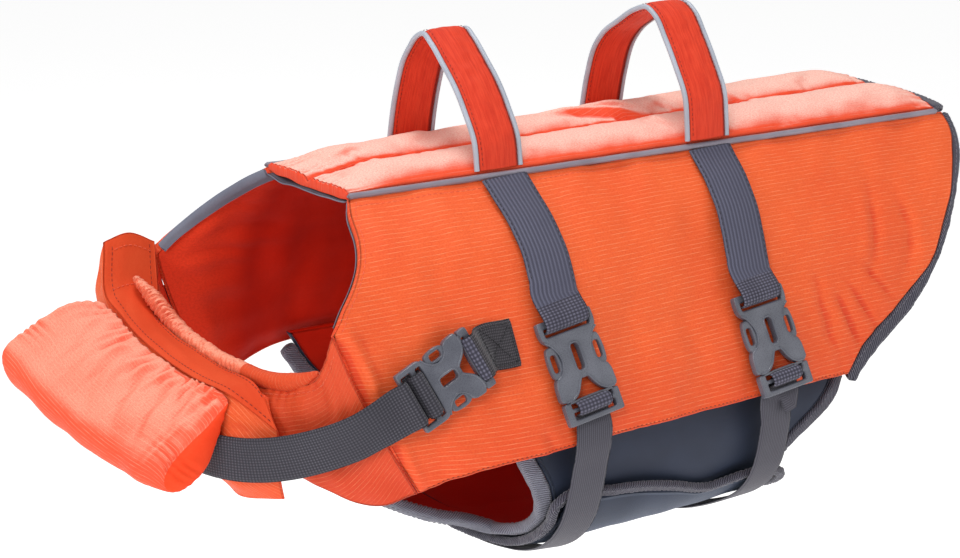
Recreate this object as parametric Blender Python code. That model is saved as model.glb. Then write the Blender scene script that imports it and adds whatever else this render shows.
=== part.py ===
"""Dog life jacket: a foam-filled vest with lift handles, a chin float and side-release buckles.

Every size below is in millimetres, in the jacket's own frame: +X runs from the neck to the tail, +Z is up,
-Y is the wearer's left, and the origin is on the inside of the back panel at its middle, where the wearer's
back carries the jacket. MM turns the sizes into Blender's metres.

Each cloth piece is a wall: a grid of outer points worked out from the tables, and the same grid moved in by
the wall's thickness. What lies on a panel is made from the panel's points, moved out.
"""

from math import cos, pi, radians, sin

import bpy
import numpy as np
from mathutils import Matrix, Vector

MM = 0.001
LEFT, RIGHT = -1, 1

# ---------------------------------------------------------------- driving sizes

BACK_HALF = 210.0  # half of the back panel's length
BACK_CROWN = (2.0, 6.0)  # height of the centre seam over the pipings, at the neck and at the tail
CHANNEL_RISE = 9.0  # how far a foam channel stands over its seams
SEAM_THICK = 5.0  # back panel where it is sewn down
SIDE_THICK = 7.0
EDGE_THICK = 3.6  # foam panels thin out to this at their edges
YOKE_THICK = 4.0
FLAP_THICK = 4.0
BELLY_THICK = 4.0
SKIN_THICK = 1.0
GAP = 0.4  # between pieces that are sewn or lie together
PIPING_RADIUS = 2.4
ROLL_RADIUS = 4.6
ROLL_WAVES = 20
WIDE_WEB, CHEST_WEB, NARROW_WEB = 30.0, 26.0, 23.5
WEB_THICK = 1.6
BINDING = (9.0, 5.2)  # width and thickness of bound twill edges
LEG_BINDING = (10.0, 6.4)
FLAP_BINDING = (5.6, 4.6)
TAPE_EDGE, TAPE_REACH = 0.6, 11.0  # where the neck tape starts and ends, measured from the neck edge
TAPE_CLEAR = 1.0  # neck tape from the lining
CROSS_X = (-114.0, 27.0)  # where a handle, its straps and its buckle cross the jacket
HANDLE_WIDTH, HANDLE_THICK = 25.0, 4.6
HANDLE_PIPING = 1.9
BUCKLE_THICK = 5.0

# Side panel: half width at five depths under the piping, for stations along X.
FLANK_DEPTHS = (0, 20, 50, 85, 131, 150)
FLANK = (
    # x,     y0,   y20,   y50,   y85,  y131,  y150
    (-255, 43.0, 76.0, 98.0, 104.0, 106.0, 104.0),
    (-210, 43.0, 75.0, 99.0, 110.0, 115.0, 112.0),
    (-160, 45.0, 73.0, 99.0, 115.0, 130.0, 131.0),
    (-110, 47.0, 72.0, 98.0, 115.0, 131.0, 132.0),
    (28, 52.0, 69.0, 87.0, 106.0, 124.0, 126.0),
    (80, 54.5, 70.0, 87.0, 104.0, 118.0, 120.0),
    (140, 56.5, 71.0, 88.0, 103.0, 114.0, 116.0),
    (215, 59.0, 73.0, 90.0, 103.0, 112.0, 113.0),
)
# The side panel's edges, as x and depth under the piping. The tail edge is where its binding starts.
NECK_EDGE = ((-210, 1.2), (-216, 7), (-220, 15), (-226.5, 24.5), (-236, 35), (-246, 45), (-254, 55))
YOKE_SEAM = ((-254, 55), (-247, 76), (-238, 97), (-228, 117), (-219, 133), (-211, 146))
TAIL_EDGE = (
    (200, 1.2), (202, 8), (197, 22), (181.5, 47), (167, 67), (152, 83), (134, 96.5), (113, 108.5), (96, 119), (82, 131),
)
HEM = ((-211, 146), (-195, 140), (-170, 134.5), (-123, 131.5), (-36, 129.5), (10, 129.5), (82, 131))

# Chest yoke, right half: points from the rim down to the lower edge, for stations from the middle outwards.
YOKE = (
    ((-267, 0, -98), (-272, 0, -103), (-277, 0, -111), (-279, 0, -123), (-274, 0, -137), (-262, 0, -147)),
    ((-265, 42, -96), (-269, 44, -101), (-273, 45, -110), (-273, 46, -122), (-268, 46, -135), (-258, 46, -145)),
    ((-259, 68, -90), (-261, 70, -97), (-261, 72, -108), (-259, 73, -121), (-257, 73, -133), (-253, 72, -143)),
    ((-257, 88, -79), (-254, 92, -90), (-249, 95, -104), (-242, 97, -120), (-236, 97, -138), (-230, 96, -154.5)),
)
# Chest flap from its near end to its far end. Each row has the lapel's inner edge and middle, then the fold, then
# the front down to the hem.
FLAP = (
    ((-270, -57, -97), (-270.5, -63, -105), (-270, -69, -112.5), (-271, -69, -125), (-269, -68, -139), (-265, -65, -152)),
    ((-270, -44, -93), (-279, -46, -94), (-287, -46, -95), (-291, -48, -113), (-288, -47, -137), (-276, -45, -156)),
    ((-271, -15, -93), (-281, -15, -92), (-290, -15, -94), (-296, -15, -112), (-291, -15, -138), (-272, -15, -157)),
    ((-271, 20, -91), (-282, 20, -89), (-292, 20, -90), (-298, 20, -109), (-291, 20, -135), (-267, 20, -151)),
    ((-271, 50, -88), (-283, 51, -83.5), (-294, 51, -82), (-299, 52, -103), (-288, 52, -131), (-264, 50, -146)),
    ((-270, 66, -84), (-281, 66, -79), (-294, 65, -77), (-298, 66, -97), (-286, 68, -127), (-262, 66, -144)),
    ((-262, 81, -78), (-277, 80, -73), (-295, 78, -71.5), (-296, 80, -90), (-283, 84, -121), (-259, 83, -142)),
    ((-254, 99, -49), (-270, 99, -41.5), (-286, 98, -44.5), (-291, 99, -66), (-277, 105, -101), (-250, 105, -135)),
)
FLAP_FOLD = 2  # the fold's place in each row above

# The gathered roll's centre line, from the left side round the front to its end on the lapel.
ROLL = (
    (-253.5, -84, -75), (-256, -76, -80), (-258.5, -67, -84), (-263.3, -42, -90), (-264.6, -24, -91.5),
    (-265.5, 0, -92.3), (-264.8, 24, -91.3), (-264.5, 42, -89.3), (-265.3, 55, -85), (-268, 66, -77),
    (-272.5, 77, -67.5), (-275, 83, -63),
)

# Chin float: outline at its near and far ends, as x and z from the lapel's fold.
FLOAT_ENDS = (-50.0, 78.0)
FLOAT_NEAR = (
    (0, 0), (-7, -6), (-15, -13), (-24, -19), (-32, -25), (-39, -32), (-42, -38),
    (-41, -44), (-34, -47), (-27, -45), (-20, -41), (-14, -34), (-9.5, -23), (-4.5, -10),
)
FLOAT_FAR = (
    (0, 0), (-6, 0.5), (-21, 0), (-37, -5), (-51, -12), (-60, -17), (-63, -22),
    (-62, -30), (-55, -39), (-43, -42), (-32, -36), (-23, -28), (-14, -17), (-6, -7),
)

# Belly, right half: points from under the hem to the keel, for stations along X.
BELLY = (
    (-140, ((120, -124), (118, -150), (105, -176), (74, -193), (40, -200), (0, -202))),
    (-110, ((120, -124), (119, -150), (107, -177.5), (77, -201), (43, -209.5), (0, -213))),
    (-77, ((119, -124), (118, -150), (107, -178), (72, -204), (39, -213.5), (0, -217.5))),
    (28, ((112, -124), (114, -150), (106, -176), (66, -205), (36, -216), (0, -220))),
    (90, ((105, -124), (109, -150), (102, -175), (64, -203), (35, -214), (0, -218))),
)
# Front and rear edges of the belly panel: share of the way from keel to hem, and x. The rear one is where its
# binding starts. The right leg opening reaches further forward by BELLY_SKEW.
BELLY_FRONT = ((0.0, -126), (0.33, -126), (0.50, -118), (0.66, -120), (0.78, -127), (0.89, -138), (1.0, -148))
BELLY_REAR = ((0.0, 58), (0.40, 50), (0.60, 40), (0.74, 41), (0.79, 49), (0.84, 61), (0.90, 74), (1.0, 84))
BELLY_SKEW = 9.0
# Tongue between the front legs: x, half width, height of its edge and of its middle.
TONGUE = (
    (-129.5, 57.0, -199.0, -204.5),
    (-160.0, 55.0, -190.5, -195.5),
    (-193.0, 55.0, -175.0, -180.0),
    (-230.0, 55.0, -153.0, -158.0),
    (-248.0, 54.0, -139.5, -144.0),
)
# Outer belly flap: its left edge as x and share of the way from keel to hem; its right edge is straight.
FLAP_LEFT = (
    (-117, 0.765), (-94, 0.745), (-68, 0.727), (-37, 0.685), (-18, 0.645), (-7, 0.637),
    (5, 0.65), (20, 0.655), (36, 0.635), (48, 0.57), (57, 0.475), (63, 0.36),
)
FLAP_RIGHT = 0.80
FLAP_LIFT, FLAP_WALL = 3.0, 3.0

# Handles: y and z of the middle line, from the left piping to the right one.
HANDLE_LINES = (
    (
        (-45, 3.8), (-42, 20), (-34, 33), (-24, 46), (-11, 58), (1, 68), (8, 72),
        (16, 69), (23, 62), (30, 53), (36, 39), (41, 23), (45, 4.5),
    ),
    (
        (-52, 4.2), (-51, 16), (-49, 29), (-40, 45), (-29, 61), (-20, 72), (-12, 76),
        (0, 73), (16, 64), (30, 55), (38, 46), (46, 26), (51, 4.5),
    ),
)

# Chest strap: middle line of the webbing, from the buckle round the front to the right side.
CHEST_STRAP = (
    (-238, -114, -103.5), (-247, -107, -110), (-258, -94, -117.5), (-271, -77, -124.5), (-283, -61, -128),
    (-295, -43, -128), (-300, -18, -127.5), (-301.5, 10, -126.5), (-301.5, 35, -122), (-300, 60, -114.5),
    (-294, 90, -105), (-278, 111, -98), (-256, 116, -94.5), (-235, 115.2, -93), (-216, 115.4, -92),
    (-200, 116.4, -91),
)
# Chest patch: x and depth of the middle of the webbing that is sewn to the panel behind the chest buckle.
CHEST_PATCH = ((-164.0, 73.6), (-158.5, 73.8), (-153.5, 73.8), (-149.5, 73.6))

FINISHES = {
    # name: (base colour, roughness)
    "shell": ((0.88, 0.16, 0.06), 0.6),
    "top": ((0.90, 0.30, 0.18), 0.6),
    "facing": ((0.70, 0.10, 0.04), 0.7),
    "webbing": ((0.09, 0.09, 0.13), 0.8),
    "reflective": ((0.45, 0.47, 0.50), 0.45),
    "twill": ((0.16, 0.15, 0.16), 0.85),
    "neoprene": ((0.045, 0.053, 0.07), 0.7),
    "handle": ((0.75, 0.06, 0.025), 0.7),
    "plastic": ((0.10, 0.10, 0.11), 0.35),
}


# ---------------------------------------------------------------- curves and grids


def smooth(keys, values, at):
    """The values at `at` on a smooth curve through (keys, values)."""
    keys = np.asarray(keys, float)
    values = np.asarray(values, float)
    at = np.clip(np.asarray(at, float), keys[0], keys[-1])
    slopes = np.gradient(values, keys, axis=0)
    low = np.clip(np.searchsorted(keys, at) - 1, 0, len(keys) - 2)
    span = keys[low + 1] - keys[low]
    t = (at - keys[low]) / span
    if values.ndim > 1:
        t = t[..., None]
        span = span[..., None]
    rise = 3 * t**2 - 2 * t**3
    lead = (t**3 - 2 * t**2 + t) * span
    tail = (t**3 - t**2) * span
    return values[low] * (1 - rise) + values[low + 1] * rise + slopes[low] * lead + slopes[low + 1] * tail


def run_of(points):
    """The length along `points` up to each of them."""
    steps = np.linalg.norm(np.diff(points, axis=0), axis=1)
    return np.concatenate([[0.0], np.cumsum(steps)])


def curve(points, count, start=0.0, end=0.0):
    """`count` even points on a smooth curve through `points`, cut back by `start` and `end` at its ends."""
    points = np.asarray(points, float)
    keys = run_of(points)
    fine = smooth(keys, points, np.linspace(0, keys[-1], 400))
    run = run_of(fine)
    at = np.linspace(start, run[-1] - end, count)
    return np.stack([np.interp(at, run, column) for column in fine.T], axis=-1)


def unit(vectors):
    return vectors / np.linalg.norm(vectors, axis=-1, keepdims=True)


def normals_of(grid, inside):
    """Unit normals of a grid of points, turned away from the point `inside`."""
    normals = unit(np.cross(np.gradient(grid, axis=0), np.gradient(grid, axis=1)))
    away = np.sum(normals * (grid - np.asarray(inside, float)))
    return normals * np.sign(away)


def moved_out(grid, distance, inside):
    """The grid moved along its normals; `distance` is a number or has one for each point."""
    distance = np.broadcast_to(np.asarray(distance, float), grid.shape[:2])
    return grid + normals_of(grid, inside) * distance[..., None]


def mirrored(points):
    """The same points on the other side of the middle plane."""
    return points * np.array([1.0, -1.0, 1.0])


def edge_taper(run, reach=18.0):
    """0 at both ends of a run of lengths, 1 further than `reach` from them."""
    near = np.clip(np.minimum(run, run[-1] - run) / reach, 0, 1)
    return near * near * (3 - 2 * near)


# ---------------------------------------------------------------- solids


def material(finish):
    found = bpy.data.materials.get(finish)
    if found:
        return found
    colour, roughness = FINISHES[finish]
    made = bpy.data.materials.new(finish)
    made.use_nodes = True
    shader = made.node_tree.nodes["Principled BSDF"]
    shader.inputs["Base Color"].default_value = (*colour, 1)
    shader.inputs["Roughness"].default_value = roughness
    return made


def add_mesh(name, points, faces, finish):
    """A mesh object from points in millimetres, its faces turned out."""
    mesh = bpy.data.meshes.new(name)
    mesh.from_pydata([tuple(p) for p in np.asarray(points) * MM], [], faces)
    mesh.validate()
    if signed_volume(mesh) < 0:
        mesh.flip_normals()
    mesh.shade_smooth()
    mesh.set_sharp_from_angle(angle=radians(40))
    mesh.materials.append(material(finish))
    made = bpy.data.objects.new(name, mesh)
    bpy.context.scene.collection.objects.link(made)
    return made


def signed_volume(mesh):
    mesh.calc_loop_triangles()
    total = 0.0
    for triangle in mesh.loop_triangles:
        a, b, c = (mesh.vertices[i].co for i in triangle.vertices)
        total += a.dot(b.cross(c))
    return total


def add_wall(name, outer, inner, finish):
    """A closed wall between two grids of points of the same shape."""
    rows, columns = outer.shape[:2]
    points = np.concatenate([outer.reshape(-1, 3), inner.reshape(-1, 3)])
    under = rows * columns

    def index(i, j):
        return i * columns + j

    faces = []
    for i in range(rows - 1):
        for j in range(columns - 1):
            a, b, c, d = index(i, j), index(i + 1, j), index(i + 1, j + 1), index(i, j + 1)
            faces += [(a, b, c), (a, c, d)]
            faces += [(under + c, under + b, under + a), (under + d, under + c, under + a)]
    rim = [index(i, 0) for i in range(rows)]
    rim += [index(rows - 1, j) for j in range(1, columns)]
    rim += [index(i, columns - 1) for i in range(rows - 2, -1, -1)]
    rim += [index(0, j) for j in range(columns - 2, 0, -1)]
    for a, b in zip(rim, rim[1:] + rim[:1]):
        faces.append((b, a, under + a, under + b))
    return add_mesh(name, points, faces, finish)


def add_loft(name, rings, finish):
    """A closed body through rings of points, its two ends closed flat."""
    rings = np.asarray(rings, float)
    count, sides = rings.shape[:2]
    faces = []
    for i in range(count - 1):
        for j in range(sides):
            k = (j + 1) % sides
            faces.append((i * sides + j, (i + 1) * sides + j, (i + 1) * sides + k, i * sides + k))
    faces.append(tuple(range(sides)))
    faces.append(tuple((count - 1) * sides + j for j in reversed(range(sides))))
    return add_mesh(name, rings.reshape(-1, 3), faces, finish)


def frames_along(path, facing):
    """For each point of a path: the directions across it and out of it, from rough outward vectors."""
    along = unit(np.gradient(path, axis=0))
    across = unit(np.cross(facing, along))
    return across, unit(np.cross(along, across))


def sweep(name, path, facing, outline, finish, scale=None):
    """A profile carried along a path. `outline` holds its points as (across, out)."""
    across, out = frames_along(path, facing)
    scale = np.ones(len(path)) if scale is None else scale
    rings = [
        path + (across * u + out * v) * scale[:, None]
        for u, v in outline
    ]
    return add_loft(name, np.stack(rings, axis=1), finish)


def flat_profile(width, thick):
    return [(-width / 2, -thick / 2), (width / 2, -thick / 2), (width / 2, thick / 2), (-width / 2, thick / 2)]


def ring_profile(radius, sides, flatness=1.0):
    turns = [2 * pi * (k + 0.5) / sides for k in range(sides)]
    return [(radius * cos(a), radius * flatness * sin(a)) for a in turns]


def oval_profile(width, thick, sides=8):
    """A rounded band: a superellipse, so that a bound edge has full sides."""
    power = 0.7
    points = []
    for k in range(sides):
        a = 2 * pi * (k + 0.5) / sides
        u = np.sign(cos(a)) * abs(cos(a)) ** power
        v = np.sign(sin(a)) * abs(sin(a)) ** power
        points.append((u * width / 2, v * thick / 2))
    return points


# ---------------------------------------------------------------- side panels


def half_width(x, depth):
    """How far the side panel's outer face is from the middle plane, `depth` under the piping."""
    table = np.array(FLANK, float)
    at_depths = smooth(table[:, 0], table[:, 1:], np.asarray(float(x)))
    return float(smooth(FLANK_DEPTHS, at_depths, float(depth)))


def flank_points(x, depth):
    """Outer points of the right side panel for arrays of x and depth."""
    x, depth = np.broadcast_arrays(x, depth)
    y = np.vectorize(half_width)(x, depth)
    return np.stack([x, y, -depth], axis=-1).astype(float)


FLANK_INSIDE = (0, 0, -110)
NECK_ROWS, SEAM_ROWS = 6, 8


def side_outline(columns):
    """x and depth of the side panel's grid: rows from the piping to the hem, columns from neck to tail."""
    front = np.concatenate([curve(NECK_EDGE, NECK_ROWS)[:-1], curve(YOKE_SEAM, SEAM_ROWS)])
    rows = len(front)
    share = run_of(front) / run_of(front)[-1]
    rear_fine = curve(TAIL_EDGE, 200)
    rear_run = run_of(rear_fine) / run_of(rear_fine)[-1]
    rear = np.stack([np.interp(share, rear_run, c) for c in rear_fine.T], axis=-1)
    top = np.linspace(NECK_EDGE[0], TAIL_EDGE[0], columns)
    hem = curve(HEM, columns)
    u = np.linspace(0, 1, columns)[None, :, None]
    v = share[:, None, None]
    ruled = front[:, None] * (1 - u) + rear[:, None] * u
    bowed = top[None] * (1 - v) + hem[None] * v
    corners = (front[0] * (1 - u) + rear[0] * u) * (1 - v) + (front[-1] * (1 - u) + rear[-1] * u) * v
    return ruled + bowed - corners, rows


def side_grids(columns=23):
    """Outer and inner points of the right side panel."""
    outline, rows = side_outline(columns)
    outer = flank_points(outline[..., 0], outline[..., 1])
    across = edge_taper(np.linspace(0, 420, columns), 22)
    down = edge_taper(run_of(outer[:, columns // 2]), 16)
    thick = EDGE_THICK + (SIDE_THICK - EDGE_THICK) * across[None, :] * down[:, None]
    return outer, moved_out(outer, -thick, FLANK_INSIDE)


def beyond_edge(edge, before, normals, distance):
    """A panel's edge moved out past itself, within its surface. `before` is the line next to the edge."""
    out = unit(np.cross(normals, unit(np.gradient(edge, axis=0))))
    way = np.sign(np.sum(out * (edge - before), axis=1, keepdims=True))
    return edge + out * way * distance


def make_sides():
    outer, inner = side_grids()
    for side, name in ((LEFT, "side_panel_left"), (RIGHT, "side_panel_right")):
        turn = (lambda p: p) if side == RIGHT else mirrored
        add_wall(name, turn(outer), turn(inner), "shell")


# ---------------------------------------------------------------- back panel and pipings


def back_half_width(x):
    return half_width(x, 0)


def back_point(x, share):
    """Inner and outer points of the back panel; `share` runs from -1 at the left edge to 1 at the right."""
    width = back_half_width(x) - PIPING_RADIUS - GAP
    along = (x + BACK_HALF) / (2 * BACK_HALF)
    crown = BACK_CROWN[0] + (BACK_CROWN[1] - BACK_CROWN[0]) * along
    inner = (crown - SEAM_THICK + 1.6) * (1 - share**2) - 1.6
    channel = abs(sin(pi * share)) ** 0.62
    end = np.clip(min(along, 1 - along) * 2 * BACK_HALF / 26, 0, 1)
    puff = CHANNEL_RISE * channel * (0.35 + 0.65 * end * (2 - end))
    edge = 3.4 + (SEAM_THICK - 3.4) * (1 - share**2)
    return (x, width * share, inner), (x, width * share, inner + edge + puff)


def make_back(columns=27, rows=15):
    xs = np.linspace(-BACK_HALF, BACK_HALF - BINDING[0] - GAP, columns)
    shares = np.sin(np.linspace(-1, 1, rows) * pi / 2) * 0.35 + np.linspace(-1, 1, rows) * 0.65
    pairs = np.array([[back_point(x, s) for x in xs] for s in shares])
    add_wall("back_panel", pairs[:, :, 1], pairs[:, :, 0], "top")


def make_pipings(count=20):
    xs = np.linspace(-BACK_HALF - 1, BACK_HALF - BINDING[0] - GAP, count)
    path = np.array([(x, back_half_width(x) + 0.7, 1.35) for x in xs])
    outline = ring_profile(PIPING_RADIUS, 8)
    facing = np.tile([0.0, 0.3, 1.0], (count, 1))
    for side, name in ((LEFT, "piping_left"), (RIGHT, "piping_right")):
        line = path if side == RIGHT else mirrored(path)
        sweep(name, line, facing, outline, "reflective")


# ---------------------------------------------------------------- edge tapes and bindings


def make_neck_tapes():
    """Twill tape sewn inside the neck edge."""
    _, inner = side_grids()
    rows = slice(0, NECK_ROWS)
    start = inner[rows, 0]
    step = unit(inner[rows, 1] - inner[rows, 0])
    lines = np.stack([start + step * d for d in (TAPE_EDGE, TAPE_REACH / 2, TAPE_REACH)], axis=1)
    near = moved_out(lines, -TAPE_CLEAR, FLANK_INSIDE)
    far = moved_out(lines, -TAPE_CLEAR - SKIN_THICK, FLANK_INSIDE)
    add_wall("neck_tape_right", near, far, "twill")
    add_wall("neck_tape_left", mirrored(near), mirrored(far), "twill")
    xs = (TAPE_EDGE - BACK_HALF, TAPE_REACH - BACK_HALF)
    top = np.array([[back_point(x, s)[0] for x in xs] for s in np.linspace(-0.96, 0.96, 9)])
    add_wall("neck_tape_top", top - [0, 0, GAP], top - [0, 0, GAP + SKIN_THICK], "twill")


def make_tail_bindings():
    outer, inner = side_grids()
    middle = (outer + inner) / 2
    normals = normals_of(outer, FLANK_INSIDE)[:, -1]
    path = beyond_edge(middle[:, -1], middle[:, -2], normals, BINDING[0] / 2 + 2 * GAP)
    facing = curve(normals, 17)
    path = curve(path, 17, start=0.5)
    profile = oval_profile(*BINDING)
    sweep("tail_binding_right", path, facing, profile, "twill")
    sweep("tail_binding_left", mirrored(path), mirrored(facing), profile, "twill")
    shares = np.linspace(-0.985, 0.985, 11)
    pairs = np.array([back_point(BACK_HALF, s) for s in shares])
    top = pairs.mean(axis=1) - [BINDING[0] / 2, 0, 0]
    sweep("tail_binding_top", top, np.tile([0.0, 0.0, 1.0], (11, 1)), profile, "twill")


# ---------------------------------------------------------------- neck and chest


def both_sides(stations):
    """Stations from the left end over the middle to the right end, from the right half's."""
    right = np.array(stations, float)
    return np.concatenate([mirrored(right[:0:-1]), right])


YOKE_INSIDE = (-200, 0, -110)


def yoke_grid(columns=21, rows=7):
    """Outer points of the yoke, rows from its upper edge down, columns from left seam to right seam."""
    seam_depths = np.array(YOKE_SEAM, float)
    seam = flank_points(seam_depths[:, 0], seam_depths[:, 1])
    seam[:, 0] -= GAP + 0.4
    stations = np.concatenate([np.array(YOKE, float), seam[None]])
    stations = both_sides(stations)
    lines = np.stack([curve(station, rows) for station in stations])
    return np.stack([curve(lines[:, i], columns) for i in range(rows)])


def make_yoke():
    outer = yoke_grid()
    normals = normals_of(outer, YOKE_INSIDE)
    for column, side in ((0, LEFT), (-1, RIGHT)):
        for i, (x, _, z) in enumerate(outer[:, column]):
            _, normal = flank_frame(x, -z)
            normals[i, column] = normal if side == RIGHT else mirrored(normal)
    add_wall("chest_yoke", outer, outer - normals * YOKE_THICK, "shell")


def make_neck_roll(count=61):
    """The gathered roll along the rim. Its waves fade out towards the left side."""
    path = curve(ROLL, count)
    share = np.linspace(0, 1, count)
    fade = np.clip(share * 3 - 0.4, 0, 1)
    waves = 1 + 0.05 * fade * np.sin(2 * pi * ROLL_WAVES * share)
    ends = np.clip(np.minimum(share, 1 - share) / 0.06, 0, 1) ** 0.5
    scale = waves * (0.6 + 0.4 * ends)
    outline = ring_profile(ROLL_RADIUS, 6, 0.9)
    facing = unit(path - np.array([-200.0, 0.0, -40.0]))
    sweep("neck_roll", path, facing, outline, "top", scale)


FLAP_INSIDE = (-240, 0, -125)
LAPEL_ROWS, FRONT_ROWS = 4, 8


def flap_grid(columns=20):
    """Outer points of the chest flap, rows from the lapel's inner edge down, columns from left to right."""
    lines = []
    for station in FLAP:
        lapel = curve(station[: FLAP_FOLD + 1], LAPEL_ROWS)
        front = curve(station[FLAP_FOLD:], FRONT_ROWS)
        lines.append(np.concatenate([lapel[:-1], front]))
    lines = np.stack(lines)
    return np.stack([curve(lines[:, i], columns) for i in range(lines.shape[1])])


def flap_inner(outer):
    return moved_out(outer, -FLAP_THICK, FLAP_INSIDE)


def make_flap():
    outer = flap_grid()
    add_wall("chest_flap", outer, flap_inner(outer), "shell")
    low = moved_out(outer, GAP, FLAP_INSIDE)[:LAPEL_ROWS]
    high = moved_out(outer, GAP + SKIN_THICK, FLAP_INSIDE)[:LAPEL_ROWS]
    add_wall("flap_facing", high, low, "facing")


def make_float(stations=11):
    """The chin float hangs from the lapel's fold; its two ends are pulled in like a pillow's."""
    fold = np.array([station[FLAP_FOLD] for station in FLAP], float)
    near = np.array(FLOAT_NEAR, float)
    far = np.array(FLOAT_FAR, float)
    shares = np.linspace(0, 1, stations)
    rings = []
    for share in shares:
        y = FLOAT_ENDS[0] + (FLOAT_ENDS[1] - FLOAT_ENDS[0]) * share
        x0 = np.interp(y, fold[:, 1], fold[:, 0]) - 2.4
        z0 = np.interp(y, fold[:, 1], fold[:, 2]) + 1.2
        ring = near * (1 - share) + far * share
        middle = ring.mean(axis=0)
        puff = 0.86 if share in (0.0, 1.0) else 1.0
        ring = middle + (ring - middle) * puff
        rings.append([(x0 + dx, y, z0 + dz) for dx, dz in ring])
    add_loft("chin_float", rings, "top")


# ---------------------------------------------------------------- belly


def belly_station(x):
    """Right half of the belly's section at x: points from the keel to the hem."""
    xs = [row[0] for row in BELLY]
    sections = np.array([row[1] for row in BELLY], float)[:, ::-1]
    return smooth(xs, sections, np.asarray(float(x)))


def belly_point(x, share):
    """Outer point of the belly; `share` is -1 at the left hem, 0 at the keel and 1 at the right hem."""
    section = belly_station(x)
    fine = curve(section, 60)
    run = run_of(fine)
    at = abs(share) * run[-1]
    y = np.interp(at, run, fine[:, 0])
    z = np.interp(at, run, fine[:, 1])
    return (x, y * np.sign(share) if share else 0.0, z)


BELLY_INSIDE = (-30, 0, -110)


def belly_front(share):
    keys, xs = zip(*BELLY_FRONT)
    return float(smooth(keys, xs, abs(share))) - BELLY_SKEW * max(share, 0.0)


def belly_rear(share):
    keys, xs = zip(*BELLY_REAR)
    return float(smooth(keys, xs, abs(share)))


def belly_grid(shares, columns):
    """Outer points of the belly panel: rows across from left to right, columns from front to rear."""
    return np.array(
        [[belly_point(x, s) for x in np.linspace(belly_front(s), belly_rear(s), columns)] for s in shares]
    )


def make_belly():
    outer = belly_grid(np.linspace(-1, 1, 25), 13)
    add_wall("belly_panel", outer, moved_out(outer, -BELLY_THICK, BELLY_INSIDE), "neoprene")
    outer = tongue_grid()
    add_wall("belly_tongue", outer, moved_out(outer, -BELLY_THICK, (-180, 0, -80)), "neoprene")


def tongue_grid(rows=8, columns=7):
    table = np.array(TONGUE, float)
    grid = []
    for x in np.linspace(table[0, 0], table[-1, 0], rows):
        half, edge, middle = smooth(-table[:, 0], table[:, 1:], -x)
        half -= LEG_BINDING[0] / 2 - 1
        grid.append([(x, half * s, middle + (edge - middle) * s * s) for s in np.linspace(-1, 1, columns)])
    return np.array(grid)


def belly_flap_grid(columns=16, rows=14):
    keys, shares = zip(*FLAP_LEFT)
    xs = np.linspace(keys[0], keys[-1], columns)
    left = smooth(keys, shares, xs)
    across = np.linspace(0, 1, rows)
    return np.array([[belly_point(x, -e + (e + FLAP_RIGHT) * t) for x, e in zip(xs, left)] for t in across])


def make_belly_flap():
    base = belly_flap_grid()
    low = moved_out(base, FLAP_LIFT, BELLY_INSIDE)
    high = moved_out(base, FLAP_LIFT + FLAP_WALL, BELLY_INSIDE)
    add_wall("belly_flap", high, low, "neoprene")
    middle = (low + high) / 2
    normals = normals_of(base, BELLY_INSIDE)
    edge = np.concatenate([middle[6:0:-1, 0], middle[0, :], middle[1:7, -1]])
    before = np.concatenate([middle[6:0:-1, 1], middle[1, :], middle[1:7, -2]])
    out = np.concatenate([normals[6:0:-1, 0], normals[0, :], normals[1:7, -1]])
    apart = np.full((len(edge), 1), 4.4)
    apart[5:8] = apart[-8:-5] = 5.6
    path = beyond_edge(edge, before, out, apart)
    sweep("flap_binding", curve(path, 34), curve(out, 34), oval_profile(*FLAP_BINDING, 6), "twill")


def make_belly_bindings():
    shares = np.linspace(-0.965, 0.965, 33)
    outer = belly_grid(shares, 13)
    inner = moved_out(outer, -BELLY_THICK, BELLY_INSIDE)
    middle = (outer + inner) / 2
    normals = normals_of(outer, BELLY_INSIDE)
    path = beyond_edge(middle[:, -1], middle[:, -2], normals[:, -1], BINDING[0] / 2 + 3 * GAP)
    sweep("belly_binding", curve(path, 30), curve(normals[:, -1], 30), oval_profile(*BINDING), "twill")
    tongue = tongue_grid()
    tongue_in = moved_out(tongue, -BELLY_THICK, (-180, 0, -80))
    mid = (tongue + tongue_in) / 2
    up = normals_of(tongue, (-180, 0, -80))
    away = LEG_BINDING[0] / 2 + GAP
    for side, name in ((LEFT, "leg_binding_left"), (RIGHT, "leg_binding_right")):
        rows = slice(0, 11) if side == LEFT else slice(-1, -12, -1)
        near = beyond_edge(middle[rows, 0], middle[rows, 1], normals[rows, 0], away)
        column = 0 if side == LEFT else -1
        further = 1 if side == LEFT else -2
        along = beyond_edge(mid[:, column], mid[:, further], up[:, column], away)[1:]
        path = curve(np.concatenate([near, along]), 24)
        facing = curve(np.concatenate([normals[rows, 0], up[1:, column]]), 24)
        sweep(name, path, facing, oval_profile(*LEG_BINDING), "twill")


# ---------------------------------------------------------------- handles


def make_handle(name, x, line):
    path = curve([(x, y, z) for y, z in line], 21)
    middle = np.array([x, 0.0, 10.0])
    facing = unit(path - middle)
    half, thick = HANDLE_WIDTH / 2, HANDLE_THICK / 2
    edge = thick * 0.6
    outline = [(-half, -edge), (0, -thick), (half, -edge), (half, edge), (0, thick), (-half, edge)]
    sweep(name, path, facing, outline, "handle")
    ring = ring_profile(HANDLE_PIPING, 5)
    across, _ = frames_along(path, facing)
    for tag, side in (("a", -1), ("b", 1)):
        line_at = path + across * side * (half + HANDLE_PIPING + GAP)
        sweep(f"{name}_piping_{tag}", line_at, facing, ring, "reflective")


# ---------------------------------------------------------------- webbing


def ribbon(name, path, facing, width):
    sweep(name, path, facing, flat_profile(width, WEB_THICK), "webbing")


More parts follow.
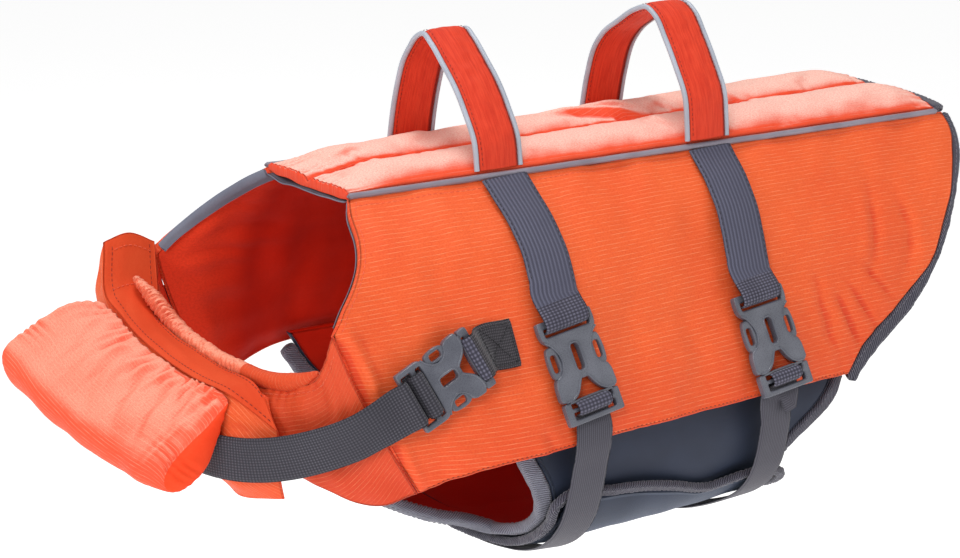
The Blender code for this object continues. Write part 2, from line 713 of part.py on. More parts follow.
def flank_frame(x, depth):
    """Outer point and outward normal of the right side panel."""
    steps = np.array([-3.0, 0.0, 3.0])
    grid = flank_points(x + steps[None, :], depth + steps[:, None])
    return grid[1, 1], normals_of(grid, FLANK_INSIDE)[1, 1]


def side_strap_path(x, depths, lift):
    points, facing = [], []
    for depth in depths:
        point, normal = flank_frame(x, depth)
        points.append(point + normal * lift)
        facing.append(normal)
    return np.array(points), np.array(facing)


# Buckles: x and depth of the start of the socket and of the plug's far end, the plates' scale across and along,
# and how far the socket's start stands off the panel.
BUCKLES = {
    "front": ((-118.5, 65.5), (-111.0, 118.0), 0.96, 0.97, 1.2),
    "rear": ((20.0, 75.5), (26.0, 130.0), 0.99, 0.99, 1.2),
    "chest": ((-211.0, 92.0), (-174.0, 75.5), 0.91, 0.71, 3.2),
}
PLUG_STAND = 3.2


def buckle_frame(name):
    """Origin, direction from socket to plug, and outward normal of a buckle lying on the left side panel."""
    (x0, d0), (x1, d1), wide, long, stand = BUCKLES[name]
    start, first = flank_frame(x0, d0)
    end, last = flank_frame(x1, d1)
    along = unit(end - start)
    out = first + last
    out = unit(out - along * np.dot(out, along))
    across = np.cross(along, out)
    rise = []
    for t in np.linspace(0, 1, 5):
        point = start + (end - start) * t
        for u in (-19, 0, 19):
            corner = point + across * u * wide
            surface, _ = flank_frame(corner[0], -corner[2])
            rise.append(float(np.dot(surface - start, out)))
    base = start + out * (max(rise) + stand)
    along = unit(end - start + out * (PLUG_STAND - stand))
    out = unit(out - along * np.dot(out, along))
    return mirrored(base), mirrored(along), mirrored(out), wide, long


def rounded(corners, radius, steps=3):
    """A polygon with its corners rounded."""
    made = []
    count = len(corners)
    for i, corner in enumerate(corners):
        corner = np.array(corner, float)
        before = unit(np.array(corners[i - 1], float) - corner)
        after = unit(np.array(corners[(i + 1) % count], float) - corner)
        room = min(
            radius,
            np.linalg.norm(np.array(corners[i - 1], float) - corner) * 0.45,
            np.linalg.norm(np.array(corners[(i + 1) % count], float) - corner) * 0.45,
        )
        start, end = corner + before * room, corner + after * room
        for t in np.linspace(0, 1, steps):
            made.append(tuple(start * (1 - t) ** 2 + corner * 2 * t * (1 - t) + end * t * t))
    return made


def plate(name, outline, holes, thick, frame):
    """A flat plate with holes, drawn in (across, along) and laid in the buckle's frame."""
    origin, along, out, wide, long = frame
    across = np.cross(along, out)
    drawn = bpy.data.curves.new(name, "CURVE")
    drawn.dimensions = "2D"
    drawn.fill_mode = "BOTH"
    drawn.extrude = thick / 2 * wide * MM
    for ring in [outline] + list(holes):
        spline = drawn.splines.new("POLY")
        spline.points.add(len(ring) - 1)
        for point, (u, s) in zip(spline.points, ring):
            point.co = (u * wide * MM, s * long * MM, 0, 1)
        spline.use_cyclic_u = True
    drawn.materials.append(material("plastic"))
    made = bpy.data.objects.new(name, drawn)
    axes = np.stack([across, along, np.cross(across, along)], axis=1)
    turn = Matrix(axes.tolist()).to_4x4()
    centre = (origin + out * thick / 2 * wide) * MM
    made.matrix_world = Matrix.Translation(Vector(centre)) @ turn
    bpy.context.scene.collection.objects.link(made)
    return made


def slot(u, s, width, length, radius):
    w, h = width / 2, length / 2
    return rounded([(u - w, s - h), (u + w, s - h), (u + w, s + h), (u - w, s + h)], radius)


SOCKET_HALF = (
    # across, along: right half of the socket's outline from its bar to its feet
    (19.5, 0.0), (19.5, 12.0), (17.4, 16.0), (19.2, 20.5), (19.2, 27.0), (17.8, 30.5),
    (20.3, 36.5), (20.3, 43.0), (9.5, 43.0), (6.5, 38.5), (3.0, 34.0),
)
# Right half of the plug's outline between the socket's feet; its far end is put in by make_buckle.
PLUG_HALF = ((9.0, 45.0), (9.0, 43.6), (19.5, 43.6))
LADDER = 12.0  # how far a socket with a ladder for the strap's free end reaches beyond its bar


def make_buckle(name, frame, ladder=0.0):
    outline = list(SOCKET_HALF) + [(-u, s) for u, s in reversed(SOCKET_HALF)]
    holes = [
        slot(0, 6.6, 32.0, 4.8, 1.0),
        slot(0, 24.0, 5.6, 15.0, 2.8),
        slot(-15.2, 23.5, 4.0, 8.5, 2.0),
        slot(15.2, 23.5, 4.0, 8.5, 2.0),
    ]
    if ladder:
        outline[0] = (SOCKET_HALF[0][0], -ladder)
        outline[-1] = (-SOCKET_HALF[0][0], -ladder)
        holes.append(slot(0, 1.3 - ladder / 2, 32.0, ladder - 2.6, 1.0))
    plate(f"{name}_socket", rounded(outline, 2.0, 2), holes, BUCKLE_THICK, frame)
    end = 55.5 if ladder else 60.0
    half = [*PLUG_HALF, (PLUG_HALF[-1][0], end)]
    outline = [(-u, s) for u, s in reversed(half[:-1])] + half + [(-PLUG_HALF[-1][0], end)]
    holes = [slot(0, 47.8, 29.5, 4.0, 0.8)]
    if not ladder:
        holes.append(slot(0, 55.0, 29.5, 4.2, 0.8))
    plate(f"{name}_plug", rounded(outline, 1.6, 2), holes, BUCKLE_THICK * 0.85, frame)


# Webbing round a buckle's bars, as (along, out) in its frame: over the socket's bar, up through the plug and over
# its bar or over its end, and through a ladder's window, round the socket's bar and back into the window.
TOP_LOOP = ((-12, 0.6), (-8, 1.2), (-4.4, 3.6), (-1.6, 6.4), (1.6, 7.0), (5.2, 6.4), (6.7, 4.0), (6.7, 1.2))
BOTTOM_LOOP = (
    (47.7, -0.6), (47.7, 2.9), (49.2, 5.8), (51.4, 6.2), (53.9, 5.5),
    (55.0, 2.9), (55.1, 0.2), (56.8, -1.6), (61, -1.9),
)
END_LOOP = ((47.5, -0.6), (47.5, 2.9), (48.8, 6.0), (51.6, 6.8), (55.6, 6.4), (58.2, 4.4), (60.4, 1.8))
LADDER_LOOP = (
    (-2.5, 1.4), (-2.4, 4.3), (-0.8, 6.8), (2, 7.3), (5.2, 6.8), (6.8, 4.3), (6.8, 1.2), (5.4, -1.5),
    (2.5, -2.1), (-2, -2.1), (-5.6, -1.7), (-7.3, 0.8), (-7.5, 4.5), (-9.6, 7.0), (-12.6, 7.2), (-15.5, 5.0),
)


def loop_of(frame, pairs, backwards=False):
    """Points and outward directions of webbing in a buckle's frame; backwards if it runs to the socket."""
    origin, along, out, wide, long = frame
    at = np.array([(s * long, n * wide) for s, n in pairs])
    steps = unit(np.gradient(at, axis=0)) * (-1 if backwards else 1)
    points = np.array([origin + along * s + out * n for s, n in at])
    return points, np.array([along * -n + out * s for s, n in steps])


def belly_strap_points(xs, shares, lifts):
    points, facing = [], []
    for x, share, lift in zip(xs, shares, lifts):
        grid = np.array([[belly_point(x + dx, share + ds) for dx in (-3, 0, 3)] for ds in (-0.02, 0, 0.02)])
        normal = normals_of(grid, BELLY_INSIDE)[1, 1]
        points.append(grid[1, 1] + normal * lift)
        facing.append(normal)
    return np.array(points), np.array(facing)


def evened(points, facing, count):
    """The same run with its points evenly spread."""
    keys = run_of(points)
    at = np.linspace(0, keys[-1], count)
    return smooth(keys, points, at), unit(smooth(keys, facing, at))


def chained(*runs):
    """Runs of (points, directions) made one."""
    return np.concatenate([run[0] for run in runs]), np.concatenate([run[1] for run in runs])


def make_side_straps():
    for tag, x in zip(("front", "rear"), CROSS_X):
        frame = buckle_frame(tag)
        make_buckle(f"buckle_{tag}", frame)
        top = BUCKLES[tag][0][1]
        path, facing = side_strap_path(x, np.linspace(3.6, top - 22, 11), 1.6)
        run = chained((mirrored(path), mirrored(facing)), loop_of(frame, TOP_LOOP))
        ribbon(f"side_strap_{tag}_left", *run, WIDE_WEB)
        path, facing = side_strap_path(x, np.linspace(3.6, 124, 14), 1.6)
        ribbon(f"side_strap_{tag}_right", path, facing, WIDE_WEB)
        make_belly_strap(tag, x, frame)


# Belly straps: how far behind the crossing they are at their buckles, at the belly's turn and under the keel.
BELLY_STRAP_SHIFTS = {"front": (2.0, 9.0, 11.0), "rear": (-4.5, -1.4, 0.0)}


def make_belly_strap(tag, x, frame):
    """Narrow webbing from the plug under the belly to the right side strap, over which its end is sewn."""
    shifts = BELLY_STRAP_SHIFTS[tag]
    shares = np.linspace(-0.83, 0.88, 24)
    lifts = np.interp(shares, (-0.83, -0.60, -0.4), (9.8, 9.1, 8.4))
    xs = x + np.interp(shares, (-0.8, -0.5, 0.0, 0.88), (*shifts, 0))
    under = belly_strap_points(xs, shares, lifts)
    over, over_facing = side_strap_path(x + shifts[0], (131,), 2.2)
    end = side_strap_path(x, (126, 117, 108, 98), 4.0)
    path = evened(*chained((mirrored(over), mirrored(over_facing)), under, end), 30)
    ribbon(f"belly_strap_{tag}", *chained(loop_of(frame, BOTTOM_LOOP), path), NARROW_WEB)


def make_chest_straps():
    frame = buckle_frame("chest")
    make_buckle("chest_buckle", frame, LADDER)
    path = curve(CHEST_STRAP, 27)
    middle = np.array([-225.0, 0.0, -112.0])
    facing = unit((path - middle) * [1, 1, 0.6])
    ribbon("chest_strap", *chained(loop_of(frame, LADDER_LOOP, True), (path, facing)), CHEST_WEB)
    patch = [flank_frame(x, d) for x, d in CHEST_PATCH]
    path = mirrored(np.array([p + n * 1.6 for p, n in patch]))
    facing = mirrored(np.array([n for _, n in patch]))
    ribbon("chest_patch", *chained(loop_of(frame, END_LOOP), (path, facing)), CHEST_WEB)


def clear_scene():
    for old in list(bpy.data.objects):
        bpy.data.objects.remove(old)


def main():
    clear_scene()
    make_back()
    make_sides()
    make_pipings()
    make_neck_tapes()
    make_tail_bindings()
    make_yoke()
    make_neck_roll()
    make_flap()
    make_float()
    make_belly()
    make_belly_flap()
    make_belly_bindings()
    for name, x, line in zip(("handle_front", "handle_rear"), CROSS_X, HANDLE_LINES):
        make_handle(name, x, line)
    make_side_straps()
    make_chest_straps()


main()
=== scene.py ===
"""The looks of a dog life jacket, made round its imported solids.

Sizes are in millimetres in the jacket's own frame: +X runs from the neck to the tail, +Z is up, -Y is the
wearer's left, and the origin is on the inside of the back panel at its middle. MM turns them into metres.
Each cloth piece is worked out from the same tables as its solid, on a finer grid, and then gets its creases,
puckers and stitches.
"""

from math import cos, pi, radians, sin

import bpy
import numpy as np
from mathutils import Matrix, Vector


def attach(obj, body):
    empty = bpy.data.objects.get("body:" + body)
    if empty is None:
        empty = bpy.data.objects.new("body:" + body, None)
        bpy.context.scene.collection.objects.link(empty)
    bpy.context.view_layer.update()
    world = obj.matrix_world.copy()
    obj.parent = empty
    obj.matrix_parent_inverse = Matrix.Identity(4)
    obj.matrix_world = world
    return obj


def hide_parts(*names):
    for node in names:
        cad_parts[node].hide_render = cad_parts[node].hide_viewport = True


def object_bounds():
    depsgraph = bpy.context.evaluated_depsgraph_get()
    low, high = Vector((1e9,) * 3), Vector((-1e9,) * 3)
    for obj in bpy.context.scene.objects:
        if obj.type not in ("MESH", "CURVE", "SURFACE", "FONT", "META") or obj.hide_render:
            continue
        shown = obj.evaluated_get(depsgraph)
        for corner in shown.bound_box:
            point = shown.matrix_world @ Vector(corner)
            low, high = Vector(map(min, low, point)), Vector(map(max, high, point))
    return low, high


MM = 0.001
LEFT, RIGHT = -1, 1
SIDES = ((LEFT, "left"), (RIGHT, "right"))

# ---------------------------------------------------------------- sizes, the same as the solids'

BACK_HALF = 210.0
BACK_CROWN = (2.0, 6.0)
CHANNEL_RISE = 9.0
SEAM_THICK = 5.0
SIDE_THICK = 7.0
EDGE_THICK = 3.6
GAP = 0.4
WIDE_WEB, CHEST_WEB, NARROW_WEB = 30.0, 26.0, 23.5
WEB_THICK = 1.6
BINDING = (9.0, 5.2)
LEG_BINDING = (10.0, 6.4)
FLAP_BINDING = (5.6, 4.6)
CROSS_X = (-114.0, 27.0)
HANDLE_WIDTH, HANDLE_THICK = 25.0, 4.6
BUCKLE_THICK = 5.0
BELLY_THICK = 4.0
SKIN_THICK = 1.0
FLANK_DEPTHS = (0, 20, 50, 85, 131, 150)
FLANK = (
    # x,     y0,   y20,   y50,   y85,  y131,  y150
    (-255, 43.0, 76.0, 98.0, 104.0, 106.0, 104.0),
    (-210, 43.0, 75.0, 99.0, 110.0, 115.0, 112.0),
    (-160, 45.0, 73.0, 99.0, 115.0, 130.0, 131.0),
    (-110, 47.0, 72.0, 98.0, 115.0, 131.0, 132.0),
    (28, 52.0, 69.0, 87.0, 106.0, 124.0, 126.0),
    (80, 54.5, 70.0, 87.0, 104.0, 118.0, 120.0),
    (140, 56.5, 71.0, 88.0, 103.0, 114.0, 116.0),
    (215, 59.0, 73.0, 90.0, 103.0, 112.0, 113.0),
)
# the side panel's edges as x and depth under the piping
NECK_EDGE = ((-210, 1.2), (-216, 7), (-220, 15), (-226.5, 24.5), (-236, 35), (-246, 45), (-254, 55))
YOKE_SEAM = ((-254, 55), (-247, 76), (-238, 97), (-228, 117), (-219, 133), (-211, 146))
TAIL_EDGE = (
    (200, 1.2), (202, 8), (197, 22), (181.5, 47), (167, 67),
    (152, 83), (134, 96.5), (113, 108.5), (96, 119), (82, 131),
)
HEM = ((-211, 146), (-195, 140), (-170, 134.5), (-123, 131.5), (-36, 129.5), (10, 129.5), (82, 131))
# the right half of the yoke, sections from its upper edge down, from the middle to the seam
YOKE = (
    ((-267, 0, -98), (-272, 0, -103), (-277, 0, -111), (-279, 0, -123), (-274, 0, -137), (-262, 0, -147)),
    (
        (-265, 42, -96), (-269, 44, -101), (-273, 45, -110),
        (-273, 46, -122), (-268, 46, -135), (-258, 46, -145),
    ),
    (
        (-259, 68, -90), (-261, 70, -97), (-261, 72, -108),
        (-259, 73, -121), (-257, 73, -133), (-253, 72, -143),
    ),
    (
        (-257, 88, -79), (-254, 92, -90), (-249, 95, -104),
        (-242, 97, -120), (-236, 97, -138), (-230, 96, -154.5),
    ),
)
# the chest flap, sections from the lapel's inner edge down, from the left to the right
FLAP = (
    (
        (-270, -57, -97), (-270.5, -63, -105), (-270, -69, -112.5),
        (-271, -69, -125), (-269, -68, -139), (-265, -65, -152),
    ),
    (
        (-270, -44, -93), (-279, -46, -94), (-287, -46, -95),
        (-291, -48, -113), (-288, -47, -137), (-276, -45, -156),
    ),
    (
        (-271, -15, -93), (-281, -15, -92), (-290, -15, -94),
        (-296, -15, -112), (-291, -15, -138), (-272, -15, -157),
    ),
    ((-271, 20, -91), (-282, 20, -89), (-292, 20, -90), (-298, 20, -109), (-291, 20, -135), (-267, 20, -151)),
    (
        (-271, 50, -88), (-283, 51, -83.5), (-294, 51, -82),
        (-299, 52, -103), (-288, 52, -131), (-264, 50, -146),
    ),
    ((-270, 66, -84), (-281, 66, -79), (-294, 65, -77), (-298, 66, -97), (-286, 68, -127), (-262, 66, -144)),
    (
        (-262, 81, -78), (-277, 80, -73), (-295, 78, -71.5),
        (-296, 80, -90), (-283, 84, -121), (-259, 83, -142),
    ),
    (
        (-254, 99, -49), (-270, 99, -41.5), (-286, 98, -44.5),
        (-291, 99, -66), (-277, 105, -101), (-250, 105, -135),
    ),
)
FLAP_FOLD = 2  # the fold's place in each section
ROLL = (
    (-253.5, -84, -75), (-256, -76, -80), (-258.5, -67, -84), (-263.3, -42, -90), (-264.6, -24, -91.5),
    (-265.5, 0, -92.3), (-264.8, 24, -91.3), (-264.5, 42, -89.3), (-265.3, 55, -85), (-268, 66, -77),
    (-272.5, 77, -67.5), (-275, 83, -63),
)
FLOAT_ENDS = (-50.0, 78.0)
# the float's two end sections as x and z from the lapel's fold
FLOAT_NEAR = (
    (0, 0), (-7, -6), (-15, -13), (-24, -19), (-32, -25), (-39, -32), (-42, -38),
    (-41, -44), (-34, -47), (-27, -45), (-20, -41), (-14, -34), (-9.5, -23), (-4.5, -10),
)
FLOAT_FAR = (
    (0, 0), (-6, 0.5), (-21, 0), (-37, -5), (-51, -12), (-60, -17), (-63, -22),
    (-62, -30), (-55, -39), (-43, -42), (-32, -36), (-23, -28), (-14, -17), (-6, -7),
)
# the belly's sections: x, then y and z from the hem to the keel
BELLY = (
    (-140, ((120, -124), (118, -150), (105, -176), (74, -193), (40, -200), (0, -202))),
    (-110, ((120, -124), (119, -150), (107, -177.5), (77, -201), (43, -209.5), (0, -213))),
    (-77, ((119, -124), (118, -150), (107, -178), (72, -204), (39, -213.5), (0, -217.5))),
    (28, ((112, -124), (114, -150), (106, -176), (66, -205), (36, -216), (0, -220))),
    (90, ((105, -124), (109, -150), (102, -175), (64, -203), (35, -214), (0, -218))),
)
BELLY_XS = np.arange(-140.0, 91.0, 5.0)
BELLY_SHARES = np.linspace(0, 1, 49)
# the belly panel's front and rear edges: share of the way from keel to hem, and x
BELLY_FRONT = ((0.0, -126), (0.33, -126), (0.50, -118), (0.66, -120), (0.78, -127), (0.89, -138), (1.0, -148))
BELLY_REAR = ((0.0, 58), (0.40, 50), (0.60, 40), (0.74, 41), (0.79, 49), (0.84, 61), (0.90, 74), (1.0, 84))
BELLY_SKEW = 9.0
TONGUE = (
    # x, half width, z at the edge, z at the middle
    (-129.5, 57.0, -199.0, -204.5),
    (-160.0, 55.0, -190.5, -195.5),
    (-193.0, 55.0, -175.0, -180.0),
    (-230.0, 55.0, -153.0, -158.0),
    (-248.0, 54.0, -139.5, -144.0),
)
# the belly flap's left edge as x and share of the way from keel to hem
FLAP_LEFT = (
    (-117, 0.765), (-94, 0.745), (-68, 0.727), (-37, 0.685), (-18, 0.645), (-7, 0.637),
    (5, 0.65), (20, 0.655), (36, 0.635), (48, 0.57), (57, 0.475), (63, 0.36),
)
FLAP_RIGHT = 0.80
FLAP_LIFT, FLAP_WALL = 3.0, 3.0
# the handles' lines as y and z
HANDLE_LINES = (
    (
        (-45, 3.8), (-42, 20), (-34, 33), (-24, 46), (-11, 58), (1, 68), (8, 72),
        (16, 69), (23, 62), (30, 53), (36, 39), (41, 23), (45, 4.5),
    ),
    (
        (-52, 4.2), (-51, 16), (-49, 29), (-40, 45), (-29, 61), (-20, 72), (-12, 76),
        (0, 73), (16, 64), (30, 55), (38, 46), (46, 26), (51, 4.5),
    ),
)
CHEST_STRAP = (
    (-238, -114, -103.5), (-247, -107, -110), (-258, -94, -117.5), (-271, -77, -124.5), (-283, -61, -128),
    (-295, -43, -128), (-300, -18, -127.5), (-301.5, 10, -126.5), (-301.5, 35, -122), (-300, 60, -114.5),
    (-294, 90, -105), (-278, 111, -98), (-256, 116, -94.5), (-235, 115.2, -93), (-216, 115.4, -92),
    (-200, 116.4, -91),
)
CHEST_PATCH = ((-164.0, 73.6), (-158.5, 73.8), (-153.5, 73.8), (-149.5, 73.6))
BUCKLES = {
    # the socket's start and the plug's far end as x and depth, scale across and along, the start's stand-off
    "front": ((-118.5, 65.5), (-111.0, 118.0), 0.96, 0.97, 1.2),
    "rear": ((20.0, 75.5), (26.0, 130.0), 0.99, 0.99, 1.2),
    "chest": ((-211.0, 92.0), (-174.0, 75.5), 0.91, 0.71, 3.2),
}
PLUG_STAND = 3.2
LADDER = 12.0
# webbing round a buckle's bars, as the way along the buckle and the height over its base
BOTTOM_LOOP = (
    (47.7, -0.6), (47.7, 2.9), (49.2, 5.8), (51.4, 6.2), (53.9, 5.5), (55.0, 2.9), (55.1, 0.2),
    (56.8, -1.6), (61, -1.9),
)
END_LOOP = ((47.5, -0.6), (47.5, 2.9), (48.8, 6.0), (51.6, 6.8), (55.6, 6.4), (58.2, 4.4), (60.4, 1.8))
LADDER_LOOP = (
    (-2.5, 1.4), (-2.4, 4.3), (-0.8, 6.8), (2, 7.3), (5.2, 6.8), (6.8, 4.3), (6.8, 1.2), (5.4, -1.5),
    (2.5, -2.1), (-2, -2.1), (-5.6, -1.7), (-7.3, 0.8), (-7.5, 4.5), (-9.6, 7.0), (-12.6, 7.2), (-15.5, 5.0),
)
BELLY_STRAP_SHIFTS = {"front": (2.0, 9.0, 11.0), "rear": (-4.5, -1.4, 0.0)}
# points inside the jacket, to turn normals away from
FLANK_INSIDE = (0, 0, -110)
YOKE_INSIDE = (-200, 0, -110)
FLAP_INSIDE = (-240, 0, -125)
BELLY_INSIDE = (-30, 0, -110)
TONGUE_INSIDE = (-180, 0, -80)

# ---------------------------------------------------------------- sizes of the looks' own

PIPING_RADIUS = 1.65
TUCK = 1.0  # how far the back panel's edge is inside the side panel's, under the piping
ROLL_RADIUS = 5.2
CLOTH = 1.6  # thickness of plain cloth with its turned-in hem
HANDLE_PIPING = 1.5
STRAP_BOW = 2.6  # how far towards the tail the left side straps bow
RIB_RISE = 0.14  # of the ribs along the side straps
WIDE_RIBS = 11  # of them
TOP_LOOP = ((-12, 3.4), (-8, 4.4), (-4.4, 5.5), (-1.6, 6.6), (1.6, 7.0), (5.2, 6.4), (6.7, 4.0), (6.7, 1.2))
SHADED = (-80.0, -150.0)  # heights between which the cloth takes more of its creases' colour: painted shade, darker towards the bottom
# how finely the grids are drawn: rows by columns
SIDE_GRID = (25, 54, 200)  # rows by the neck edge, rows by the yoke's seam, columns
BACK_GRID = (99, 225)
YOKE_GRID = (46, 190)
LAPEL_ROWS, FRONT_ROWS, FLAP_COLUMNS = 26, 64, 180
FLOAT_GRID = (150, 150)
BELLY_GRID = (140, 64)
TONGUE_GRID = (60, 50)
BELLY_FLAP_GRID = (84, 84)
STRAP_STEP = 1.6

# ---------------------------------------------------------------- creases
# Each row: the points along a crease, how wide it is, how deep, and the share of that depth that stands up
# beside it (a positive share on the crease's left, a negative one on its right).

SIDE_CREASES = (
    # points as (x, depth under the piping)
    (((-256, 50), (-249, 63), (-243, 79), (-236, 98)), 3.2, 3.4, -0.9),
    (((-226, 112), (-221, 128), (-216, 139), (-211, 150)), 2.6, 2.2, -0.7),
    (((-238, 108), (-234, 126), (-229, 146)), 3.6, 1.1, 0.5),
    (((-205, 118), (-200, 132), (-197, 144)), 4.5, 0.8, 0.4),
    (((-141, 118), (-138, 127), (-134, 137)), 3.6, 1.0, 0.5),
    (((130, 30), (128, 44), (124, 62), (112, 84)), 4.2, 1.9, 0.5),
    (((146, 34), (151, 52), (150, 66), (138, 84)), 4.6, 1.6, -0.5),
    (((74, 66), (72, 84), (74, 104), (78, 122)), 4.2, 1.4, 0.6),
    (((84, 86), (90, 100), (97, 116)), 3.2, 1.7, 0.6),
    (((94, 80), (104, 96), (112, 110)), 3.0, 1.6, 0.6),
    (((108, 70), (119, 84), (128, 98)), 3.4, 1.3, 0.5),
    (((-74, 60), (-71, 84), (-67, 104)), 9.0, 0.9, 0.3),
    (((-30, 80), (-27, 104), (-25, 126)), 7.0, 0.8, 0.3),
    (((-182, 40), (-188, 70), (-186, 100)), 10.0, 1.0, 0.3),
)
LINING_CREASES = (
    # points as (x, depth under the piping)
    (((-232, 48), (-205, 42), (-178, 44), (-150, 50)), 5.0, 1.6, 0.8),
    (((-240, 58), (-212, 56), (-184, 60)), 3.6, 1.8, 0.9),
    (((-222, 26), (-206, 22), (-190, 26)), 3.2, 1.2, 0.8),
    (((-216, 14), (-200, 13), (-184, 18)), 3.0, 1.0, 0.8),
    (((-245, 72), (-222, 74), (-200, 70)), 5.0, 1.2, 0.6),
    (((-244, 96), (-210, 92), (-170, 98)), 7.0, 1.4, 0.6),
    (((60, 50), (100, 46), (140, 52)), 6.0, 1.4, 0.6),
    (((70, 90), (104, 84), (136, 78)), 6.0, 1.2, 0.6),
)
BACK_CREASES = (
    # points as (x, y)
    (((-36, 22), (-16, 17), (8, 6), (22, 1)), 4.0, 2.6, 0.7),
    (((-8, 36), (10, 26), (24, 10)), 3.6, 1.9, 0.7),
    (((34, 5), (48, 16), (58, 30)), 4.0, 1.2, 0.6),
    (((-130, 8), (-118, 18), (-104, 34)), 4.4, 1.1, 0.6),
    (((-100, -8), (-92, -20), (-96, -36)), 4.0, 1.0, 0.6),
    (((12, -10), (4, -22), (8, -38)), 4.2, 1.1, 0.6),
    (((-188, 6), (-176, 12), (-160, 14)), 3.4, 1.0, 0.6),
    (((-190, -4), (-178, -12), (-158, -16)), 3.4, 1.1, 0.6),
    (((150, 8), (166, 20), (176, 34)), 5.0, 1.0, 0.5),
    (((90, -10), (104, -24), (112, -40)), 6.0, 0.8, 0.5),
)
FLOAT_CREASES = (
    # points as (y, way round from the lapel's fold)
    (((-44, 2), (-41, 12), (-42, 24)), 2.4, 2.0, 0.8),
    (((-36, 0), (-31, 10), (-33, 22), (-38, 38)), 2.6, 1.7, 0.8),
    (((-26, 0), (-22, 8), (-25, 20)), 2.2, 1.8, 0.8),
    (((-17, 0), (-10, 10), (-14, 26), (-22, 46)), 3.2, 1.9, 0.8),
    (((-6, 0), (-2, 8), (-4, 18)), 2.2, 1.6, 0.8),
    (((3, 0), (11, 12), (6, 30), (-3, 50)), 3.4, 1.8, 0.8),
    (((15, 0), (20, 10), (18, 22)), 2.4, 1.6, 0.8),
    (((24, 0), (33, 14), (28, 34), (18, 54)), 3.6, 1.7, 0.8),
    (((38, 0), (43, 10), (41, 24)), 2.6, 1.4, 0.8),
    (((50, 0), (57, 12), (54, 26), (46, 44)), 3.2, 1.2, 0.8),
    (((64, 2), (68, 12), (66, 24)), 2.6, 1.0, 0.8),
    (((-30, 70), (-24, 84), (-26, 98)), 3.2, 1.2, 0.6),
    (((6, 74), (12, 90), (8, 108)), 3.6, 1.2, 0.6),
    (((44, 78), (50, 96), (46, 118)), 3.6, 1.2, 0.6),
)
YOKE_CREASES = (
    # points as (way round from the left seam, way down from the rim)
    (((30, 4), (26, 18), (30, 34), (34, 52)), 4.0, 1.2, 0.6),
    (((52, 8), (50, 26), (56, 44)), 5.0, 0.9, 0.5),
    (((12, 30), (18, 44), (20, 60)), 3.4, 1.2, 0.6),
    (((300, 4), (306, 20), (302, 40)), 4.0, 1.2, 0.6),
    (((274, 8), (280, 26), (274, 44)), 5.0, 0.9, 0.5),
)
FLAP_CREASES = (
    # points as (way along from the near end, way down from the lapel's inner edge)
    (((12, 24), (22, 34), (36, 44)), 3.4, 1.5, 0.8),
    (((22, 22), (36, 28), (52, 32)), 2.6, 1.2, 0.8),
    (((6, 44), (18, 54), (26, 70)), 3.6, 1.2, 0.7),
    (((60, 26), (66, 40), (62, 58)), 4.0, 1.0, 0.6),
    (((104, 26), (110, 42), (104, 62)), 4.4, 1.0, 0.6),
    (((150, 30), (154, 50), (150, 70)), 4.0, 1.0, 0.6),
)

# ---------------------------------------------------------------- curves and grids


def matched(*values):
    """The values as arrays of one shape."""
    return np.broadcast_arrays(*(np.asarray(value, float) for value in values))


def stacked(*parts):
    """Points, or uvs, from arrays of their coordinates."""
    return np.stack(np.broadcast_arrays(*parts), axis=-1)


def closed(grid):
    """A grid whose first column comes again after its last."""
    return np.concatenate([grid, grid[:, :1]], axis=1)


def at_lengths(at, run, points):
    """The points at the lengths `at` of a line whose points are at the lengths `run`."""
    return np.stack([np.interp(at, run, column) for column in points.T], axis=-1)


def hermite(t, span, low, high, slope_low, slope_high):
    rise = 3 * t**2 - 2 * t**3
    lead = (t**3 - 2 * t**2 + t) * span
    tail = (t**3 - t**2) * span
    return low * (1 - rise) + high * rise + slope_low * lead + slope_high * tail


def steps_of(keys, at):
    """For each of `at`: the number of the key below it, the span to the next key, and the share of it."""
    at = np.clip(at, keys[0], keys[-1])
    low = np.clip(np.searchsorted(keys, at) - 1, 0, len(keys) - 2)
    span = keys[low + 1] - keys[low]
    return low, span, (at - keys[low]) / span


def smooth(keys, values, at):
    """The values at `at` on a smooth curve through (keys, values)."""
    keys, values = np.asarray(keys, float), np.asarray(values, float)
    slopes = np.gradient(values, keys, axis=0)
    low, span, t = steps_of(keys, np.asarray(at, float))
    if values.ndim > 1:
        t, span = t[..., None], span[..., None]
    return hermite(t, span, values[low], values[low + 1], slopes[low], slopes[low + 1])


def smooth_rows(keys, rows, at):
    """Like smooth, but each of `at` has a row of values of its own."""
    keys = np.asarray(keys, float)
    slopes = np.gradient(rows, keys, axis=1)
    low, span, t = steps_of(keys, at)
    each = np.arange(len(rows))
    ends = rows[each, low], rows[each, low + 1]
    return hermite(t, span, *ends, slopes[each, low], slopes[each, low + 1])


def run_of(points):
    """The length along `points` up to each of them."""
    steps = np.linalg.norm(np.diff(points, axis=0), axis=-1)
    start = np.zeros((1,) + steps.shape[1:])
    return np.concatenate([start, np.cumsum(steps, axis=0)])


def grid_run(grid):
    """How far along its row and down its column each point of a grid is."""
    return run_of(np.swapaxes(grid, 0, 1)).T, run_of(grid)


def curve(points, count, start=0.0, end=0.0):
    """`count` even points on a smooth curve through `points`, cut back by `start` and `end` at its ends."""
    points = np.asarray(points, float)
    keys = run_of(points)
    fine = smooth(keys, points, np.linspace(0, keys[-1], max(400, 2 * count)))
    run = run_of(fine)
    return at_lengths(np.linspace(start, run[-1] - end, count), run, fine)


def unit(vectors):
    return vectors / np.maximum(np.linalg.norm(vectors, axis=-1, keepdims=True), 1e-9)


def normals_of(grid, inside):
    """Unit normals of a grid of points, turned away from the point `inside`."""
    normals = unit(np.cross(np.gradient(grid, axis=0), np.gradient(grid, axis=1)))
    return normals * np.sign(np.sum(normals * (grid - np.asarray(inside, float))))


